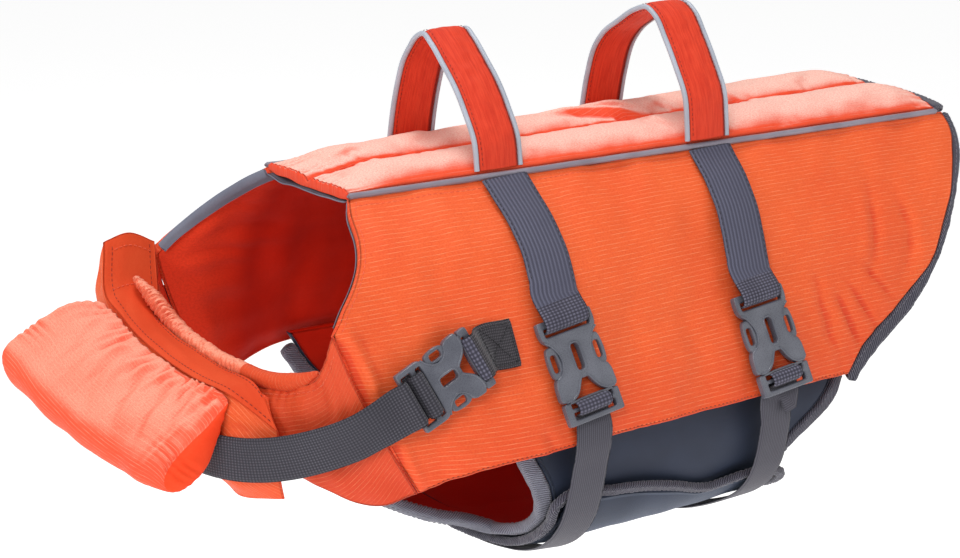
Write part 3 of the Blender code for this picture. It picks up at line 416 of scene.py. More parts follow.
def moved_out(grid, distance, inside):
    """The grid moved along its normals; `distance` is a number or has one for each point."""
    distance = np.broadcast_to(np.asarray(distance, float), grid.shape[:2])
    return grid + normals_of(grid, inside) * distance[..., None]


def turned(points, side):
    """Points or directions of the right side, or their mirror images for the left one."""
    return points * np.array([1.0, side, 1.0])


def eased(share):
    share = np.clip(share, 0, 1)
    return share * share * (3 - 2 * share)


def edge_taper(run, reach):
    """0 at both ends of a run of lengths, 1 further than `reach` from them."""
    return eased(np.minimum(run, run[-1] - run) / reach)


def waves(u, v, length, seed):
    """Smooth uneven waves about `length` long over the plane (u, v), about 1 high."""
    count = 7
    rng = np.random.default_rng(seed)
    total = 0.0
    for _ in range(count):
        turn = rng.uniform(0, pi)
        pace = 2 * pi / (length * rng.uniform(0.7, 1.6))
        total = total + np.sin(pace * (u * cos(turn) + v * sin(turn)) + rng.uniform(0, 2 * pi))
    return total / np.sqrt(count / 2)


def gathers(along, away, reach, height, spacing, seed):
    """Small uneven puckers that run off a seam: `along` it, and `away` from it, over which they fade."""
    bend = 0.30 * waves(along, away * 0.4, spacing * 4, seed)
    size = 0.75 + 0.35 * waves(along, 0 * away, spacing * 3, seed + 1)
    far = reach * np.clip(0.8 + 0.3 * waves(along, 0 * away, spacing * 2.4, seed + 2), 0.3, 1.5)
    fade = np.exp(-np.maximum(away, 0) / far)
    return height * size * fade * np.sin(2 * pi * (along / spacing + bend))


def creased(u, v, table):
    """Heights over the plane (u, v) of a table's creases: soft troughs, each with a low ridge on one side."""
    height = np.zeros(np.shape(u))
    for points, width, depth, ridge in table:
        line = curve(points, 28)
        step = unit(np.gradient(line, axis=0))
        nearest = np.argmin((u[..., None] - line[:, 0]) ** 2 + (v[..., None] - line[:, 1]) ** 2, axis=-1)
        du, dv = u - line[nearest, 0], v - line[nearest, 1]
        offset = np.hypot(du, dv) * np.sign(step[nearest, 0] * dv - step[nearest, 1] * du)
        share = nearest / (len(line) - 1)
        fade = np.clip(np.minimum(share, 1 - share) / 0.35, 0, 1) ** 0.8 * 0.85 + 0.15
        trough = np.exp(-((offset / width) ** 2))
        shoulder = abs(ridge) * np.exp(-(((offset - np.sign(ridge) * 1.9 * width) / width) ** 2))
        height += depth * fade * (shoulder - trough)
    return height


# ---------------------------------------------------------------- meshes


def placed(name, mesh):
    """A new object with this mesh, on the jacket's one body."""
    made = bpy.data.objects.new(name, mesh)
    bpy.context.scene.collection.objects.link(made)
    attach(made, "root")
    return made


def smooth_piece(name, points, faces, uvs, finishes):
    """A smooth piece from points in millimetres and lists of their numbers, with one uv for each corner."""
    mesh = bpy.data.meshes.new(name)
    mesh.from_pydata((points * MM).tolist(), [], faces)
    mesh.uv_layers.new(name="cloth").uv.foreach_set("vector", (uvs * MM).astype(np.float32).ravel())
    for finish in finishes:
        mesh.materials.append(finish)
    mesh.shade_smooth()
    return placed(name, mesh)


def finished(made, slot, *nodes):
    """Hides the CAD nodes that a piece stands for; the piece and its slot are not used."""
    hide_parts(*nodes)


def cells(grid):
    """The four corners of each cell of a grid."""
    corners = np.stack([grid[:-1, :-1], grid[1:, :-1], grid[1:, 1:], grid[:-1, 1:]], axis=2)
    return corners.reshape(-1, *corners.shape[2:])


class Patches:
    """Quads and their uvs in millimetres, gathered from grids that share one list of points."""

    def __init__(self):
        self.points, self.faces, self.uvs, self.slots = [], [], [], []
        self.count = 0

    def add_points(self, points):
        """The numbers of the new points, in the shape of their grid."""
        shape = points.shape[:-1]
        self.points.append(points.reshape(-1, 3))
        self.count += len(self.points[-1])
        return np.arange(self.count - len(self.points[-1]), self.count).reshape(shape)

    def add_faces(self, faces, uvs, slot):
        self.faces.append(faces)
        self.uvs.append(uvs)
        self.slots.append(np.broadcast_to(slot, (len(faces),)))

    def add_grid(self, index, uv, slot):
        self.add_faces(cells(index), cells(uv), slot)

    def made(self, name, finishes):
        """One smooth mesh that faces outwards, without the cells that have shrunk to a line."""
        points, faces, uvs, slots = map(np.concatenate, (self.points, self.faces, self.uvs, self.slots))
        a, b, c, d = (points[faces[:, k]] for k in range(4))
        if np.sum(a * np.cross(b, c)) + np.sum(a * np.cross(c, d)) < 0:
            faces, uvs = faces[:, ::-1], uvs[:, ::-1]
        keep = faces != np.roll(faces, 1, axis=1)
        whole = keep.sum(axis=1) >= 3
        faces, uvs, keep = faces[whole], uvs[whole], keep[whole]
        corners = [face[kept].tolist() for face, kept in zip(faces, keep)]
        made = smooth_piece(name, points, corners, uvs[keep], finishes)
        made.data.polygons.foreach_set("material_index", slots[whole].astype(np.int32))
        made.data.update()
        return made


def rim_of(rows, columns):
    """Row and column numbers of a grid's rim, once round it."""
    down, across = np.arange(rows), np.arange(columns)
    i = np.concatenate([down, np.full(columns - 1, rows - 1), down[-2::-1], np.zeros(columns - 2, int)])
    j = np.concatenate([np.zeros(rows, int), across[1:], np.full(rows - 1, columns - 1), across[-2:0:-1]])
    return i, j


def wall(name, outer, inner, uv, finishes, bevel, row_ends=2):
    """A closed wall between two grids, its rim rounded.

    `finishes` has the outer face's, the inner face's and the rim's, or one for all of them. `row_ends` is the
    number of the finish of the rim's parts along the first and the last row.
    """
    rows, columns = outer.shape[:2]
    i, j = rim_of(rows, columns)
    near = (np.clip(i, 1, rows - 2), np.clip(j, 1, columns - 2))
    top, low = outer[i, j], inner[i, j]
    up = unit(top - low)
    out = (top + low) / 2 - (outer[near] + inner[near]) / 2
    out = unit(out - up * np.sum(out * up, axis=1, keepdims=True))
    radius = np.minimum(bevel, 0.45 * np.linalg.norm(top - low, axis=1))[:, None]
    outer, inner = outer.copy(), inner.copy()
    outer[i, j] = top - out * radius
    inner[i, j] = low - out * radius
    patches = Patches()
    upper, lower = patches.add_points(outer), patches.add_points(inner)
    patches.add_grid(upper, uv, 0)
    patches.add_grid(lower[:, ::-1], uv[:, ::-1], 1)
    rings = [upper[i, j]]
    for edge, turns, rise in ((top, (30, 60, 90), -1), (low, (90, 60, 30), 1)):
        for turn in map(radians, turns):
            step = out * (sin(turn) - 1) + up * rise * (1 - cos(turn))
            rings.append(patches.add_points(edge + step * radius))
    rings.append(lower[i, j])
    away = stacked(np.sign(j - near[1]), np.sign(i - near[0]))
    edge_uv = uv[i, j] + away * np.linspace(0, 3.0, len(rings))[:, None, None]
    slots = np.where((i == 0) | (i == rows - 1), row_ends, 2)
    patches.add_grid(closed(np.stack(rings))[::-1], closed(edge_uv)[::-1], np.tile(slots, len(rings) - 1))
    return patches.made(name, finishes)


def frames_along(path, facing):
    """For each point of a path: the directions across it and out of it, from rough outward vectors."""
    along = unit(np.gradient(path, axis=0))
    across = unit(np.cross(facing, along))
    return across, unit(np.cross(along, across))


def band(name, path, facing, outline, finishes, swell=0.0, slots=0, rounding=0.0):
    """A closed profile carried along a path. `outline` is its (across, out) for all the path or each point.

    `swell` moves each point of each ring out from the middle line, and `rounding` draws the ends in.
    """
    across, out = frames_along(path, facing)
    outline = np.broadcast_to(outline, (len(path),) + outline.shape[-2:])
    outline = outline + unit(outline) * np.asarray(swell)[..., None]
    run = run_of(path)
    if rounding:
        far = np.clip(np.minimum(run, run[-1] - run) / rounding, 0, 1)
        outline = outline * (0.35 + 0.65 * np.sqrt(1 - (1 - far) ** 2))[:, None, None]
    rings = path[:, None] + across[:, None] * outline[..., :1] + out[:, None] * outline[..., 1:]
    count, sides = rings.shape[:2]
    patches = Patches()
    index = patches.add_points(rings)
    around = run_of(np.concatenate([outline[count // 2], outline[count // 2, :1]]))
    slots = np.broadcast_to(slots, (count - 1, sides)).ravel()
    patches.add_grid(closed(index), stacked(around[None], run[:, None]), slots)
    for end, ring in ((0, index[0]), (-1, index[-1, ::-1])):
        middle = np.full(sides, patches.add_points(rings[end].mean(axis=0)))
        patches.add_faces(stacked(np.roll(ring, -1), ring, middle, middle), np.zeros((sides, 4, 2)), 0)
    return patches.made(name, finishes)


def ring_profile(radius, sides, flatness=1.0):
    turns = 2 * pi * (np.arange(sides) + 0.5) / sides
    return stacked(radius * np.cos(turns), radius * flatness * np.sin(turns))


def oval_profile(width, thick, sides=28):
    """A flattened oval, for bound edges."""
    u, v = ring_profile(1.0, sides).T
    return stacked(np.sign(u) * abs(u) ** 0.62 * width / 2, np.sign(v) * abs(v) ** 0.62 * thick / 2)


def even(points, facing, step):
    """The same run with its points evenly spread, about `step` apart."""
    keys = run_of(points)
    fine = np.linspace(0, keys[-1], int(keys[-1] / step) + 2)
    points, facing = smooth(keys, points, fine), unit(smooth(keys, facing, fine))
    run = run_of(points)
    at = np.linspace(0, run[-1], len(fine))
    return at_lengths(at, run, points), unit(at_lengths(at, run, facing))


def chained(*runs):
    return tuple(np.concatenate(parts) for parts in zip(*runs))


# ---------------------------------------------------------------- the jacket's surfaces


def half_width(x, depth):
    """How far the side panel's outer face is from the middle plane, `depth` under the piping."""
    x, depth = matched(x, depth)
    table = np.array(FLANK, float)
    rows = smooth(table[:, 0], table[:, 1:], x.ravel())
    return smooth_rows(FLANK_DEPTHS, rows, depth.ravel()).reshape(x.shape)


def flank_points(x, depth):
    x, depth = matched(x, depth)
    return stacked(x, half_width(x, depth), -depth)


def flank_frame(x, depth):
    """Outer points and outward normals of the right side panel."""
    x, depth = matched(x, depth)
    step = 3.0
    down = flank_points(x, depth + step) - flank_points(x, depth - step)
    along = flank_points(x + step, depth) - flank_points(x - step, depth)
    normals = unit(np.cross(along, down))
    return flank_points(x, depth), normals * np.sign(normals[..., 1:2])


def flank_run(depth):
    """How far down the side panel's face a depth is, from the piping."""
    fine = np.linspace(0, FLANK_DEPTHS[-1] + 10, 80)
    return np.interp(depth, fine, run_of(flank_points(-60.0, fine)))


def tail_reach(depth):
    """How much further than its solid the shell's cloth runs to the tail, over the binding's turned side."""
    return 5.4 * (1 - eased((depth - 78) / 22))


def side_outline(neck_rows, seam_rows, columns):
    """x and depth of the side panel's grid: rows from the piping to the hem, columns from neck to tail."""
    front = np.concatenate([curve(NECK_EDGE, neck_rows)[:-1], curve(YOKE_SEAM, seam_rows)])
    share = run_of(front) / run_of(front)[-1]
    rear = curve(TAIL_EDGE, 400)
    rear = at_lengths(share, run_of(rear) / run_of(rear)[-1], rear)
    top = np.linspace(NECK_EDGE[0], TAIL_EDGE[0], columns)
    hem = curve(HEM, columns)
    u = np.linspace(0, 1, columns)[None, :, None]
    v = share[:, None, None]
    ruled = front[:, None] * (1 - u) + rear[:, None] * u
    bowed = top[None] * (1 - v) + hem[None] * v
    corners = (front[0] * (1 - u) + rear[0] * u) * (1 - v) + (front[-1] * (1 - u) + rear[-1] * u) * v
    grid = ruled + bowed - corners
    grid[..., 0] += tail_reach(grid[..., 1]) * eased((u[..., 0] - 0.85) / 0.15)
    grid[..., 1] -= 1.4 * np.exp(-grid[..., 1] / 4)
    return grid


def side_tapers(outer):
    """How full of foam a side panel's columns and rows are, 0 at its edges and 1 inside."""
    across = edge_taper(np.linspace(0, 2 * BACK_HALF, outer.shape[1]), 22)
    down = edge_taper(run_of(outer[:, outer.shape[1] // 2]), 16)
    return across[None, :], down[:, None]


def side_relief(x, depth, side):
    """Heights of the side panel's creases and its soft unevenness."""
    shift = 0 if side == LEFT else 9
    place = x if side == LEFT else x * 0.985 - 4 + 6 * np.sin(depth / 40)
    height = creased(place, depth, SIDE_CREASES)
    height += 0.45 * waves(x, depth, 46, 3 + shift) + 0.16 * waves(x, depth * 1.6, 17, 4 + shift)
    height += gathers(x, depth - 1, 9, 0.22, 6.5, 5 + shift) * np.clip((depth - 1) / 5, 0, 1)
    hem = np.interp(x, *np.array(HEM).T) - depth
    height += gathers(x, hem, 12, 0.35, 13, 6 + shift)
    return height - 0.2 * np.exp(-np.maximum(depth, 0) / 4.5)


def back_grid(xs, shares):
    """Inner and outer points of the back panel, rows across from left to right."""
    x, share = np.meshgrid(xs, shares)
    along = (x + BACK_HALF) / (2 * BACK_HALF)
    crown = BACK_CROWN[0] + (BACK_CROWN[1] - BACK_CROWN[0]) * along
    inner = (crown - SEAM_THICK + 1.6) * (1 - share**2) - 1.6
    front = 0.1 + 0.9 * eased((x + BACK_HALF + 6) / 44)
    rear = 0.3 + 0.7 * eased((BACK_HALF - x) / 30)
    puff = CHANNEL_RISE * np.abs(np.sin(pi * share)) ** 0.62 * front * rear
    edge = 3.4 + (SEAM_THICK - 3.4) * (1 - share**2)
    y = (half_width(x, 0) - TUCK) * share
    return stacked(x, y, inner), stacked(x, y, inner + edge + puff)


def yoke_grid(rows, columns):
    """Outer points of the yoke, rows from its upper edge down, columns from left seam to right seam."""
    seam = flank_points(*np.array(YOKE_SEAM, float).T)
    seam[:, 0] -= GAP + 0.4
    right = np.concatenate([np.array(YOKE, float), seam[None]])
    stations = np.concatenate([turned(right[:0:-1], LEFT), right])
    lines = np.stack([curve(station, rows) for station in stations])
    return np.stack([curve(lines[:, i], columns) for i in range(rows)])


def flap_grid(lapel_rows, front_rows, columns):
    """Outer points of the chest flap, rows from the lapel's inner edge down, columns from left to right."""
    lines = []
    for station in FLAP:
        lapel = curve(station[: FLAP_FOLD + 1], lapel_rows)
        lines.append(np.concatenate([lapel[:-1], curve(station[FLAP_FOLD:], front_rows)]))
    lines = np.stack(lines)
    grid = np.stack([curve(lines[:, i], columns) for i in range(lines.shape[1])])
    start, end = lapel_rows - 3, lapel_rows + 2
    for _ in range(3):  # the fold is soft
        grid[start:end] = (grid[start - 1 : end - 1] + 2 * grid[start:end] + grid[start + 1 : end + 1]) / 4
    return grid


def belly_lattice():
    """Half the belly's sections at even stations along X: y and z at even shares from keel to hem."""
    xs = [row[0] for row in BELLY]
    sections = np.array([row[1] for row in BELLY], float)[:, ::-1]
    made = []
    for x in BELLY_XS:
        section = smooth(xs, sections.reshape(len(xs), -1), np.asarray(x)).reshape(-1, 2)
        made.append(at_lengths(BELLY_SHARES, *even_shares(section)).T)
    return np.array(made)


def even_shares(section):
    """A fine line through a section, after the share of its length up to each point."""
    fine = curve(section, 200)
    return run_of(fine) / run_of(fine)[-1], fine


LATTICE = belly_lattice()


def belly_points(x, share):
    """Outer points of the belly; `share` is -1 at the left hem, 0 at the keel and 1 at the right hem."""
    x, share = matched(x, share)
    across = np.abs(share).ravel()
    rows = smooth(BELLY_XS, LATTICE.reshape(len(BELLY_XS), -1), x.ravel()).reshape(-1, 2, len(BELLY_SHARES))
    y, z = (smooth_rows(BELLY_SHARES, rows[:, k], across).reshape(x.shape) for k in (0, 1))
    return stacked(x, y * np.sign(share), z)


def belly_frame(x, share):
    """Outer points and outward normals of the belly."""
    x, share = matched(x, share)
    across = belly_points(x, share + 0.02) - belly_points(x, share - 0.02)
    along = belly_points(x + 3, share) - belly_points(x - 3, share)
    points, normals = belly_points(x, share), unit(np.cross(across, along))
    away = np.sum(normals * (points - np.array(BELLY_INSIDE)), axis=-1, keepdims=True)
    return points, normals * np.sign(away)


def belly_grid(shares, columns):
    """Outer points of the belly panel: rows across from left to right, columns from front to rear."""
    front = smooth(*zip(*BELLY_FRONT), np.abs(shares)) - BELLY_SKEW * np.maximum(shares, 0.0)
    rear = smooth(*zip(*BELLY_REAR), np.abs(shares))
    along = np.linspace(0, 1, columns)[None]
    return belly_points(front[:, None] * (1 - along) + rear[:, None] * along, shares[:, None])


def tongue_grid(rows, columns):
    """Outer points of the belly's tongue: rows from its root to its tip."""
    table = np.array(TONGUE, float)
    xs = np.linspace(table[0, 0], table[-1, 0], rows)
    half, edge, middle = smooth(-table[:, 0], table[:, 1:], -xs).T[..., None]
    s = np.linspace(-1, 1, columns)[None]
    return stacked(xs[:, None], (half - LEG_BINDING[0] / 2 + 1) * s, middle + (edge - middle) * s * s)


def belly_flap_grid(rows, columns):
    """The belly's points under the outer flap: rows from its left edge to its right edge."""
    xs = np.linspace(FLAP_LEFT[0][0], FLAP_LEFT[-1][0], columns)
    left = smooth(*zip(*FLAP_LEFT), xs)[None]
    across = np.linspace(0, 1, rows)[:, None]
    return belly_points(xs[None], -left + (left + FLAP_RIGHT) * across)


def beyond_edge(edge, before, normals, distance):
    """A panel's edge moved out past itself, within the panel's surface."""
    out = unit(np.cross(normals, unit(np.gradient(edge, axis=0))))
    return edge + out * np.sign(np.sum(out * (edge - before), axis=1, keepdims=True)) * distance


# ---------------------------------------------------------------- materials


def linear(colour):
    """A colour seen as 0 to 255, in Blender's linear values."""
    share = np.array(colour) / 255
    return tuple(np.where(share <= 0.04045, share / 12.92, ((share + 0.055) / 1.055) ** 2.4).tolist())


class Value:
    """What a material's node gives. Its sums, products and quotients are nodes too."""

    def __init__(self, graph, socket):
        self.graph, self.socket = graph, socket

    def __add__(self, other):
        return self.graph.math("ADD", self, other)

    def __mul__(self, other):
        return self.graph.math("MULTIPLY", self, other)

    def __truediv__(self, other):
        return self.graph.math("DIVIDE", self, other)


class Graph:
    """A material's nodes, written as calls. Lengths along the cloth are in millimetres, colours 0 to 255."""

    def __init__(self, name, roughness, sheen=0.0, specular=0.35, tint=(255, 255, 255)):
        self.material = bpy.data.materials.new(name)
        self.material.use_nodes = True
        self.tree = self.material.node_tree
        self.shader = self.tree.nodes["Principled BSDF"].inputs
        self.give(self.shader, {"Roughness": roughness, "Specular IOR Level": specular})
        self.give(self.shader, {"Sheen Weight": sheen, "Sheen Roughness": 0.4, "Sheen Tint": tint})

    def give(self, inputs, values):
        """Sets inputs, by name or number, to numbers, colours or what other nodes give."""
        for key, value in values.items():
            if isinstance(value, Value):
                self.tree.links.new(value.socket, inputs[key])
            elif isinstance(value, tuple):
                inputs[key].default_value = (*linear(value), 1)
            else:
                inputs[key].default_value = value

    def node(self, kind, values, output=0, **settings):
        made = self.tree.nodes.new("ShaderNode" + kind)
        for key, value in settings.items():
            setattr(made, key, value)
        self.give(made.inputs, values)
        return Value(self, made.outputs[output])

    def math(self, operation, *values):
        return self.node("Math", dict(enumerate(values)), operation=operation)

    def split(self, vector, axis):
        return self.node("SeparateXYZ", {0: vector}, axis)

    def along(self):
        """How far across and along the cloth, in millimetres."""
        uv = self.node("UVMap", {}, uv_map="cloth")
        return self.split(uv, 0) / MM, self.split(uv, 1) / MM

    def place(self):
        """The place in the jacket, in millimetres."""
        place = self.node("TexCoord", {}, "Object")
        return self.node("VectorMath", {0: place, "Scale": 1 / MM}, operation="SCALE")

    def vector(self, x, y):
        return self.node("CombineXYZ", {0: x, 1: y})

    def noise(self, vector, length, detail=2.0, roughness=0.5):
        values = {"Vector": vector, "Scale": 1 / length, "Detail": detail, "Roughness": roughness}
        return self.node("TexNoise", values)

    def wave(self, value, length):
        """0 to 1 and back over `length`."""
        return self.math("SINE", value * (2 * pi / length)) * 0.5 + 0.5

    def ramp(self, value, low, high):
        """0 below `low`, 1 above `high`, smooth between."""
        values = {"Value": value, "From Min": low, "From Max": high}
        return self.node("MapRange", values, interpolation_type="SMOOTHSTEP")

    def facing_up(self, low, high):
        """0 where the normal's height is under `low`, 1 where it is over `high`."""
        return self.ramp(self.split(self.node("NewGeometry", {}, "Normal"), 2), low, high)

    def hollow(self):
        """1 in the creases, 0 on flat cloth: where painted shade goes."""
        return self.ramp(self.node("NewGeometry", {}, "Pointiness"), 0.497, 0.462)

    def mix(self, share, first, second):
        return self.node("Mix", {0: share, 6: first, 7: second}, 2, data_type="RGBA")

    def finish(self, colour, height, relief, roughness=None):
        """Sets the colour, and the bump from `height` (0 to 1) standing `relief` millimetres high."""
        bump = self.node("Bump", {"Strength": 1.0, "Distance": relief * MM, "Height": height})
        self.give(self.shader, {"Base Color": colour, "Normal": bump})
        if roughness:
            self.give(self.shader, {"Roughness": roughness})
        return self.material


def ripstop(name, base, line, shade, painted_sheen=None, upward=(0.45, 0.96), spacing=2.6, across=False, *, strength):
    """Woven cloth with thin uneven raised lines along the grain and a fine slanted weave between them.

    `shade` is the colour of its mottle and grain and of painted shade in creases and low down; the next
    colour is a painted
    sheen on what faces up: not at all where its normal's height is under the first `upward`, and wholly over
    the second.
    """
    g = Graph(name, 0.6, 0.12, 0.25, (255, 200, 170))
    u, v = g.along()
    if across:
        u, v = v, u
    slow = g.noise(g.vector(u / 30.0, v / 6.0), 1.0)
    lines = g.ramp(g.wave(v + (slow * 1.2 + -0.6), spacing), 0.88, 1.0)
    broken = g.ramp(g.noise(g.vector(u / 8.0, v / spacing), 1.0, 3.0), 0.36, 0.62)
    lines = lines * (broken * 0.8 + 0.2)
    slant = g.wave(u + v * 1.3, 0.95)
    grain = g.noise(g.vector(u, v * 1.8), 1.2, 3.0, 0.75)
    cloud = g.ramp(g.noise(g.place(), 60.0, 3.0), 0.3, 0.75)
    colour = g.mix(cloud * 0.3, base, shade)
    # painted shade: darker towards the bottom, where less light falls
    colour = g.mix(g.ramp(g.split(g.place(), 2), *SHADED) * 0.45, colour, shade)
    # painted sheen: paler where the cloth faces up, towards the lamps
    if painted_sheen:
        colour = g.mix(g.facing_up(*upward), colour, painted_sheen)
    colour = g.mix(g.ramp(grain, 0.38, 0.66) * 0.5, colour, shade)
    # painted shade in the creases
    colour = g.mix(g.hollow() * 0.75, colour, shade)
    colour = g.mix(lines * strength, colour, line)
    return g.finish(colour, lines * 0.6 + (slant * 0.2 + grain * 0.35), 0.2)


def plain_weave(name, base, shade, thread=0.55, neck_light=None, belly_shade=None):
    """Close plain cloth, where wanted with painted light towards the neck and painted shade under the belly.
    """
    g = Graph(name, 0.7, 0.1, 0.12, base)
    u, v = g.along()
    weave = g.wave(u, thread) * g.wave(v, thread)
    cloud = g.ramp(g.noise(g.place(), 34.0, 4.0, 0.6), 0.3, 0.72)
    grain = g.noise(g.vector(u, v), 1.6, 3.0, 0.7)
    colour = g.mix(cloud * 0.55, base, shade)
    # painted light: lighter towards the neck, where the lamps reach into the opening
    if neck_light:
        colour = g.mix(g.ramp(g.split(g.place(), 0), -185.0, -240.0), colour, neck_light)
    # painted shade: darker low down under the belly
    if belly_shade:
        colour = g.mix(g.ramp(g.split(g.place(), 2), -125.0, -165.0), colour, belly_shade)
    colour = g.mix(g.ramp(grain, 0.35, 0.7) * 0.25, colour, shade)
    return g.finish(colour, weave * 0.5 + grain, 0.07)


def webbing(name, base, dark, light, rib=2.6, cross=0.0, relief=0.3):
    """Woven strap: ribs along it, and cross ribs where `cross` gives their spacing."""
    g = Graph(name, 0.72, 0.15, 0.3)
    u, v = g.along()
    ribs = g.wave(u, rib)
    fine = g.noise(g.vector(u * 1.6, v), 0.8, 2.0, 0.6)
    if cross:
        height = (ribs + 0.5) * (g.wave(v, cross) + 0.4) * 0.5
    else:
        height = ribs * 0.6 + g.wave(v + u * 1.1, 1.05) * 0.25
    height = height + fine * 0.25
    worn = g.ramp(g.noise(g.place(), 26.0, 3.0), 0.3, 0.75)
    colour = g.mix(g.ramp(height, 0.15, 0.95), dark, base)
    colour = g.mix(g.ramp(height, 0.62, 1.05) * (worn * 0.4 + 0.25), colour, light)
    return g.finish(colour, height, relief)


def twill(name, base, dark, light, relief=0.35, fuzz=0.0):
    """Binding tape with slanted ribs."""
    g = Graph(name, 0.8, 0.25, 0.25)
    u, v = g.along()
    fine = g.noise(g.vector(u * 1.4, v * 1.4), 0.9 + fuzz, 3.0, 0.7)
    height = g.wave(v + u, 1.7) * 0.7 + fine * (0.4 + fuzz)
    worn = g.ramp(g.noise(g.place(), 18.0, 3.0), 0.35, 0.7)
    colour = g.mix(g.ramp(height, 0.2, 0.85), dark, base)
    colour = g.mix(g.ramp(height, 0.55, 1.0) * (worn * 0.45 + 0.2), colour, light)
    return g.finish(colour, height, relief)


def neoprene(name, base, shade):
    """Smooth stretch cloth with a fine knit."""
    g = Graph(name, 0.62, 0.3, 0.3, (150, 165, 190))
    u, v = g.along()
    knit = g.wave(u, 0.6) * g.wave(v + u * 0.5, 0.8)
    colour = g.mix(g.ramp(g.noise(g.place(), 40.0, 3.0), 0.3, 0.7), base, shade)
    return g.finish(colour, knit * 0.5 + g.noise(g.vector(u, v), 0.9) * 0.5, 0.05)


def handle_cloth(name, base, shade, edge):
    """Soft red-orange webbing, with painted shade where it turns into its pipings."""
    g = Graph(name, 0.66, 0.3, 0.25, (255, 150, 120))
    u, v = g.along()
    streaks = g.noise(g.vector(u * 1.2, v / 14.0), 1.4, 4.0, 0.65)
    colour = g.mix(g.ramp(streaks, 0.35, 0.68) * 0.7, base, shade)
    # painted shade along both edges, where the cloth turns into its pipings
    off_edge = g.ramp(g.math("PINGPONG", u, HANDLE_WIDTH + 1.0), 0.6, 2.4)
    colour = g.mix(off_edge, edge, colour)
    return g.finish(colour, g.wave(u, 1.1) * g.wave(v, 0.8) * 0.4 + streaks, 0.14)


def reflective(name, base, shade):
    """Silver-grey piping cloth with a fine weave."""
    g = Graph(name, 0.42, 0.1, 0.5)
    u, v = g.along()
    colour = g.mix(g.ramp(g.noise(g.place(), 22.0, 3.0), 0.3, 0.7) * 0.6, base, shade)
    return g.finish(colour, g.wave(u, 0.7) * g.wave(v, 0.7) * 0.4 + g.noise(g.vector(u, v), 1.2), 0.08)


def plastic(name, base, shade):
    """Satin moulded plastic, with the faint mottle of its mould."""
    g = Graph(name, 0.34, specular=0.5)
    mottle = g.noise(g.place(), 0.6, 3.0, 0.6)
    colour = g.mix(g.ramp(g.noise(g.place(), 14.0), 0.3, 0.7), base, shade)
    return g.finish(colour, mottle, 0.02, mottle * 0.16 + 0.2)


def thread(name, base, shade):
    """Twisted sewing thread."""
    g = Graph(name, 0.6, 0.2, 0.3)
    u, v = g.along()
    twist = g.wave(v + u, 0.5)
    return g.finish(g.mix(twist, shade, base), twist, 0.05)


# ---------------------------------------------------------------- stitches


class Stitches:
    """Rows of sewing in one thread, gathered into one mesh of square-sided stitches."""

    # share of the way along a stitch, thickness there, and rise, both as shares of its radius
    RINGS = ((0.0, 0.25, -0.5), (0.22, 1.0, 0.15), (0.78, 1.0, 0.15), (1.0, 0.25, -0.5))
    CORNERS = 2 * pi * np.arange(4) / 4

    def __init__(self, name, finish, slot):
        self.name, self.finish, self.slot = name, finish, slot
        self.rings = []

    def row(self, path, facing, radius, lift, length=2.7, gap=0.9):
        """Stitches along a path that lies on a surface; `facing` has the surface's normals."""
        run = run_of(path)
        starts = np.arange(gap / 2, run[-1] - length, length + gap)
        if not len(starts):
            return
        across, out = frames_along(path, facing)
        turn = self.CORNERS[None, :, None]
        stack = []
        for share, size, rise in self.RINGS:
            at = starts + length * share
            centre, side, up = (at_lengths(at, run, part) for part in (path, across, out))
            centre = centre + up * (lift + rise * radius)
            ring = side[:, None] * np.cos(turn) + up[:, None] * np.sin(turn)
            stack.append(centre[:, None] + ring * radius * size)
        self.rings.append(np.stack(stack, axis=1))

    def made(self):
        rings = np.concatenate(self.rings)
        depth, sides = rings.shape[1:3]
        points = rings.reshape(-1, 3)
        index = np.arange(len(points)).reshape(-1, depth, sides)
        tubes = [cells(closed(stitch)) for stitch in index]
        faces = np.concatenate(tubes + [index[:, 0, ::-1], index[:, -1]])
        uvs = stacked(faces % sides * 0.4, faces // sides % depth * 0.9)
        smooth_piece(self.name, points, faces.tolist(), uvs, [self.finish])


# ---------------------------------------------------------------- frame and finishes

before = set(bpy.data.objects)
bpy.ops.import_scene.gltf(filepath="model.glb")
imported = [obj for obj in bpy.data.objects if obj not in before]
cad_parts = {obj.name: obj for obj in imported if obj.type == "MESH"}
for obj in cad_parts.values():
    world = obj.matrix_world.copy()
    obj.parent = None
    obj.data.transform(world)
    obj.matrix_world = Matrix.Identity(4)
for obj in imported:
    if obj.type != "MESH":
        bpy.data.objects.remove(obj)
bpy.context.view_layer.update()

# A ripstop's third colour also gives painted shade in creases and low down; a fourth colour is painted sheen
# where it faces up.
SHELL = ripstop("shell_ripstop", (240, 104, 50), (255, 158, 110), (218, 58, 24), strength=0.5)
TOP = ripstop(
    "top_weave", (238, 86, 50), (255, 206, 184), (228, 62, 30), (252, 210, 194), (0.78, 1.0), strength=0.15
)
FLOAT_CLOTH = ripstop(
    "float_ripstop", (242, 96, 64), (255, 196, 164), (234, 74, 44), (248, 162, 136),
    spacing=2.0, strength=0.36, across=True,
)
ROLL_CLOTH = ripstop(
    "roll_cloth", (242, 126, 92), (255, 196, 166), (206, 52, 24), (250, 166, 136), spacing=2.5, strength=0.25
)
# A darker copy of the shell cloth: painted shade, as the yoke faces forward and down.
YOKE_SHADED_CLOTH = ripstop("yoke_shaded_ripstop", (222, 82, 40), (250, 146, 100), (196, 48, 20), strength=0.34)
# The lining's deep red is in part painted shade for the jacket's inside.
LINING = plain_weave(
    # painted light towards the neck, painted shade under the belly
    "lining_taffeta", (206, 34, 10), (178, 20, 3), neck_light=(255, 76, 44), belly_shade=(150, 26, 8)
)
FACING = plain_weave("facing_cloth", (222, 82, 44), (210, 62, 28))
# The float's end panels: plain cloth, their deeper orange painted shade on the ends, which face sideways.
FLOAT_END = plain_weave("float_end_cloth", (242, 78, 40), (236, 60, 26))
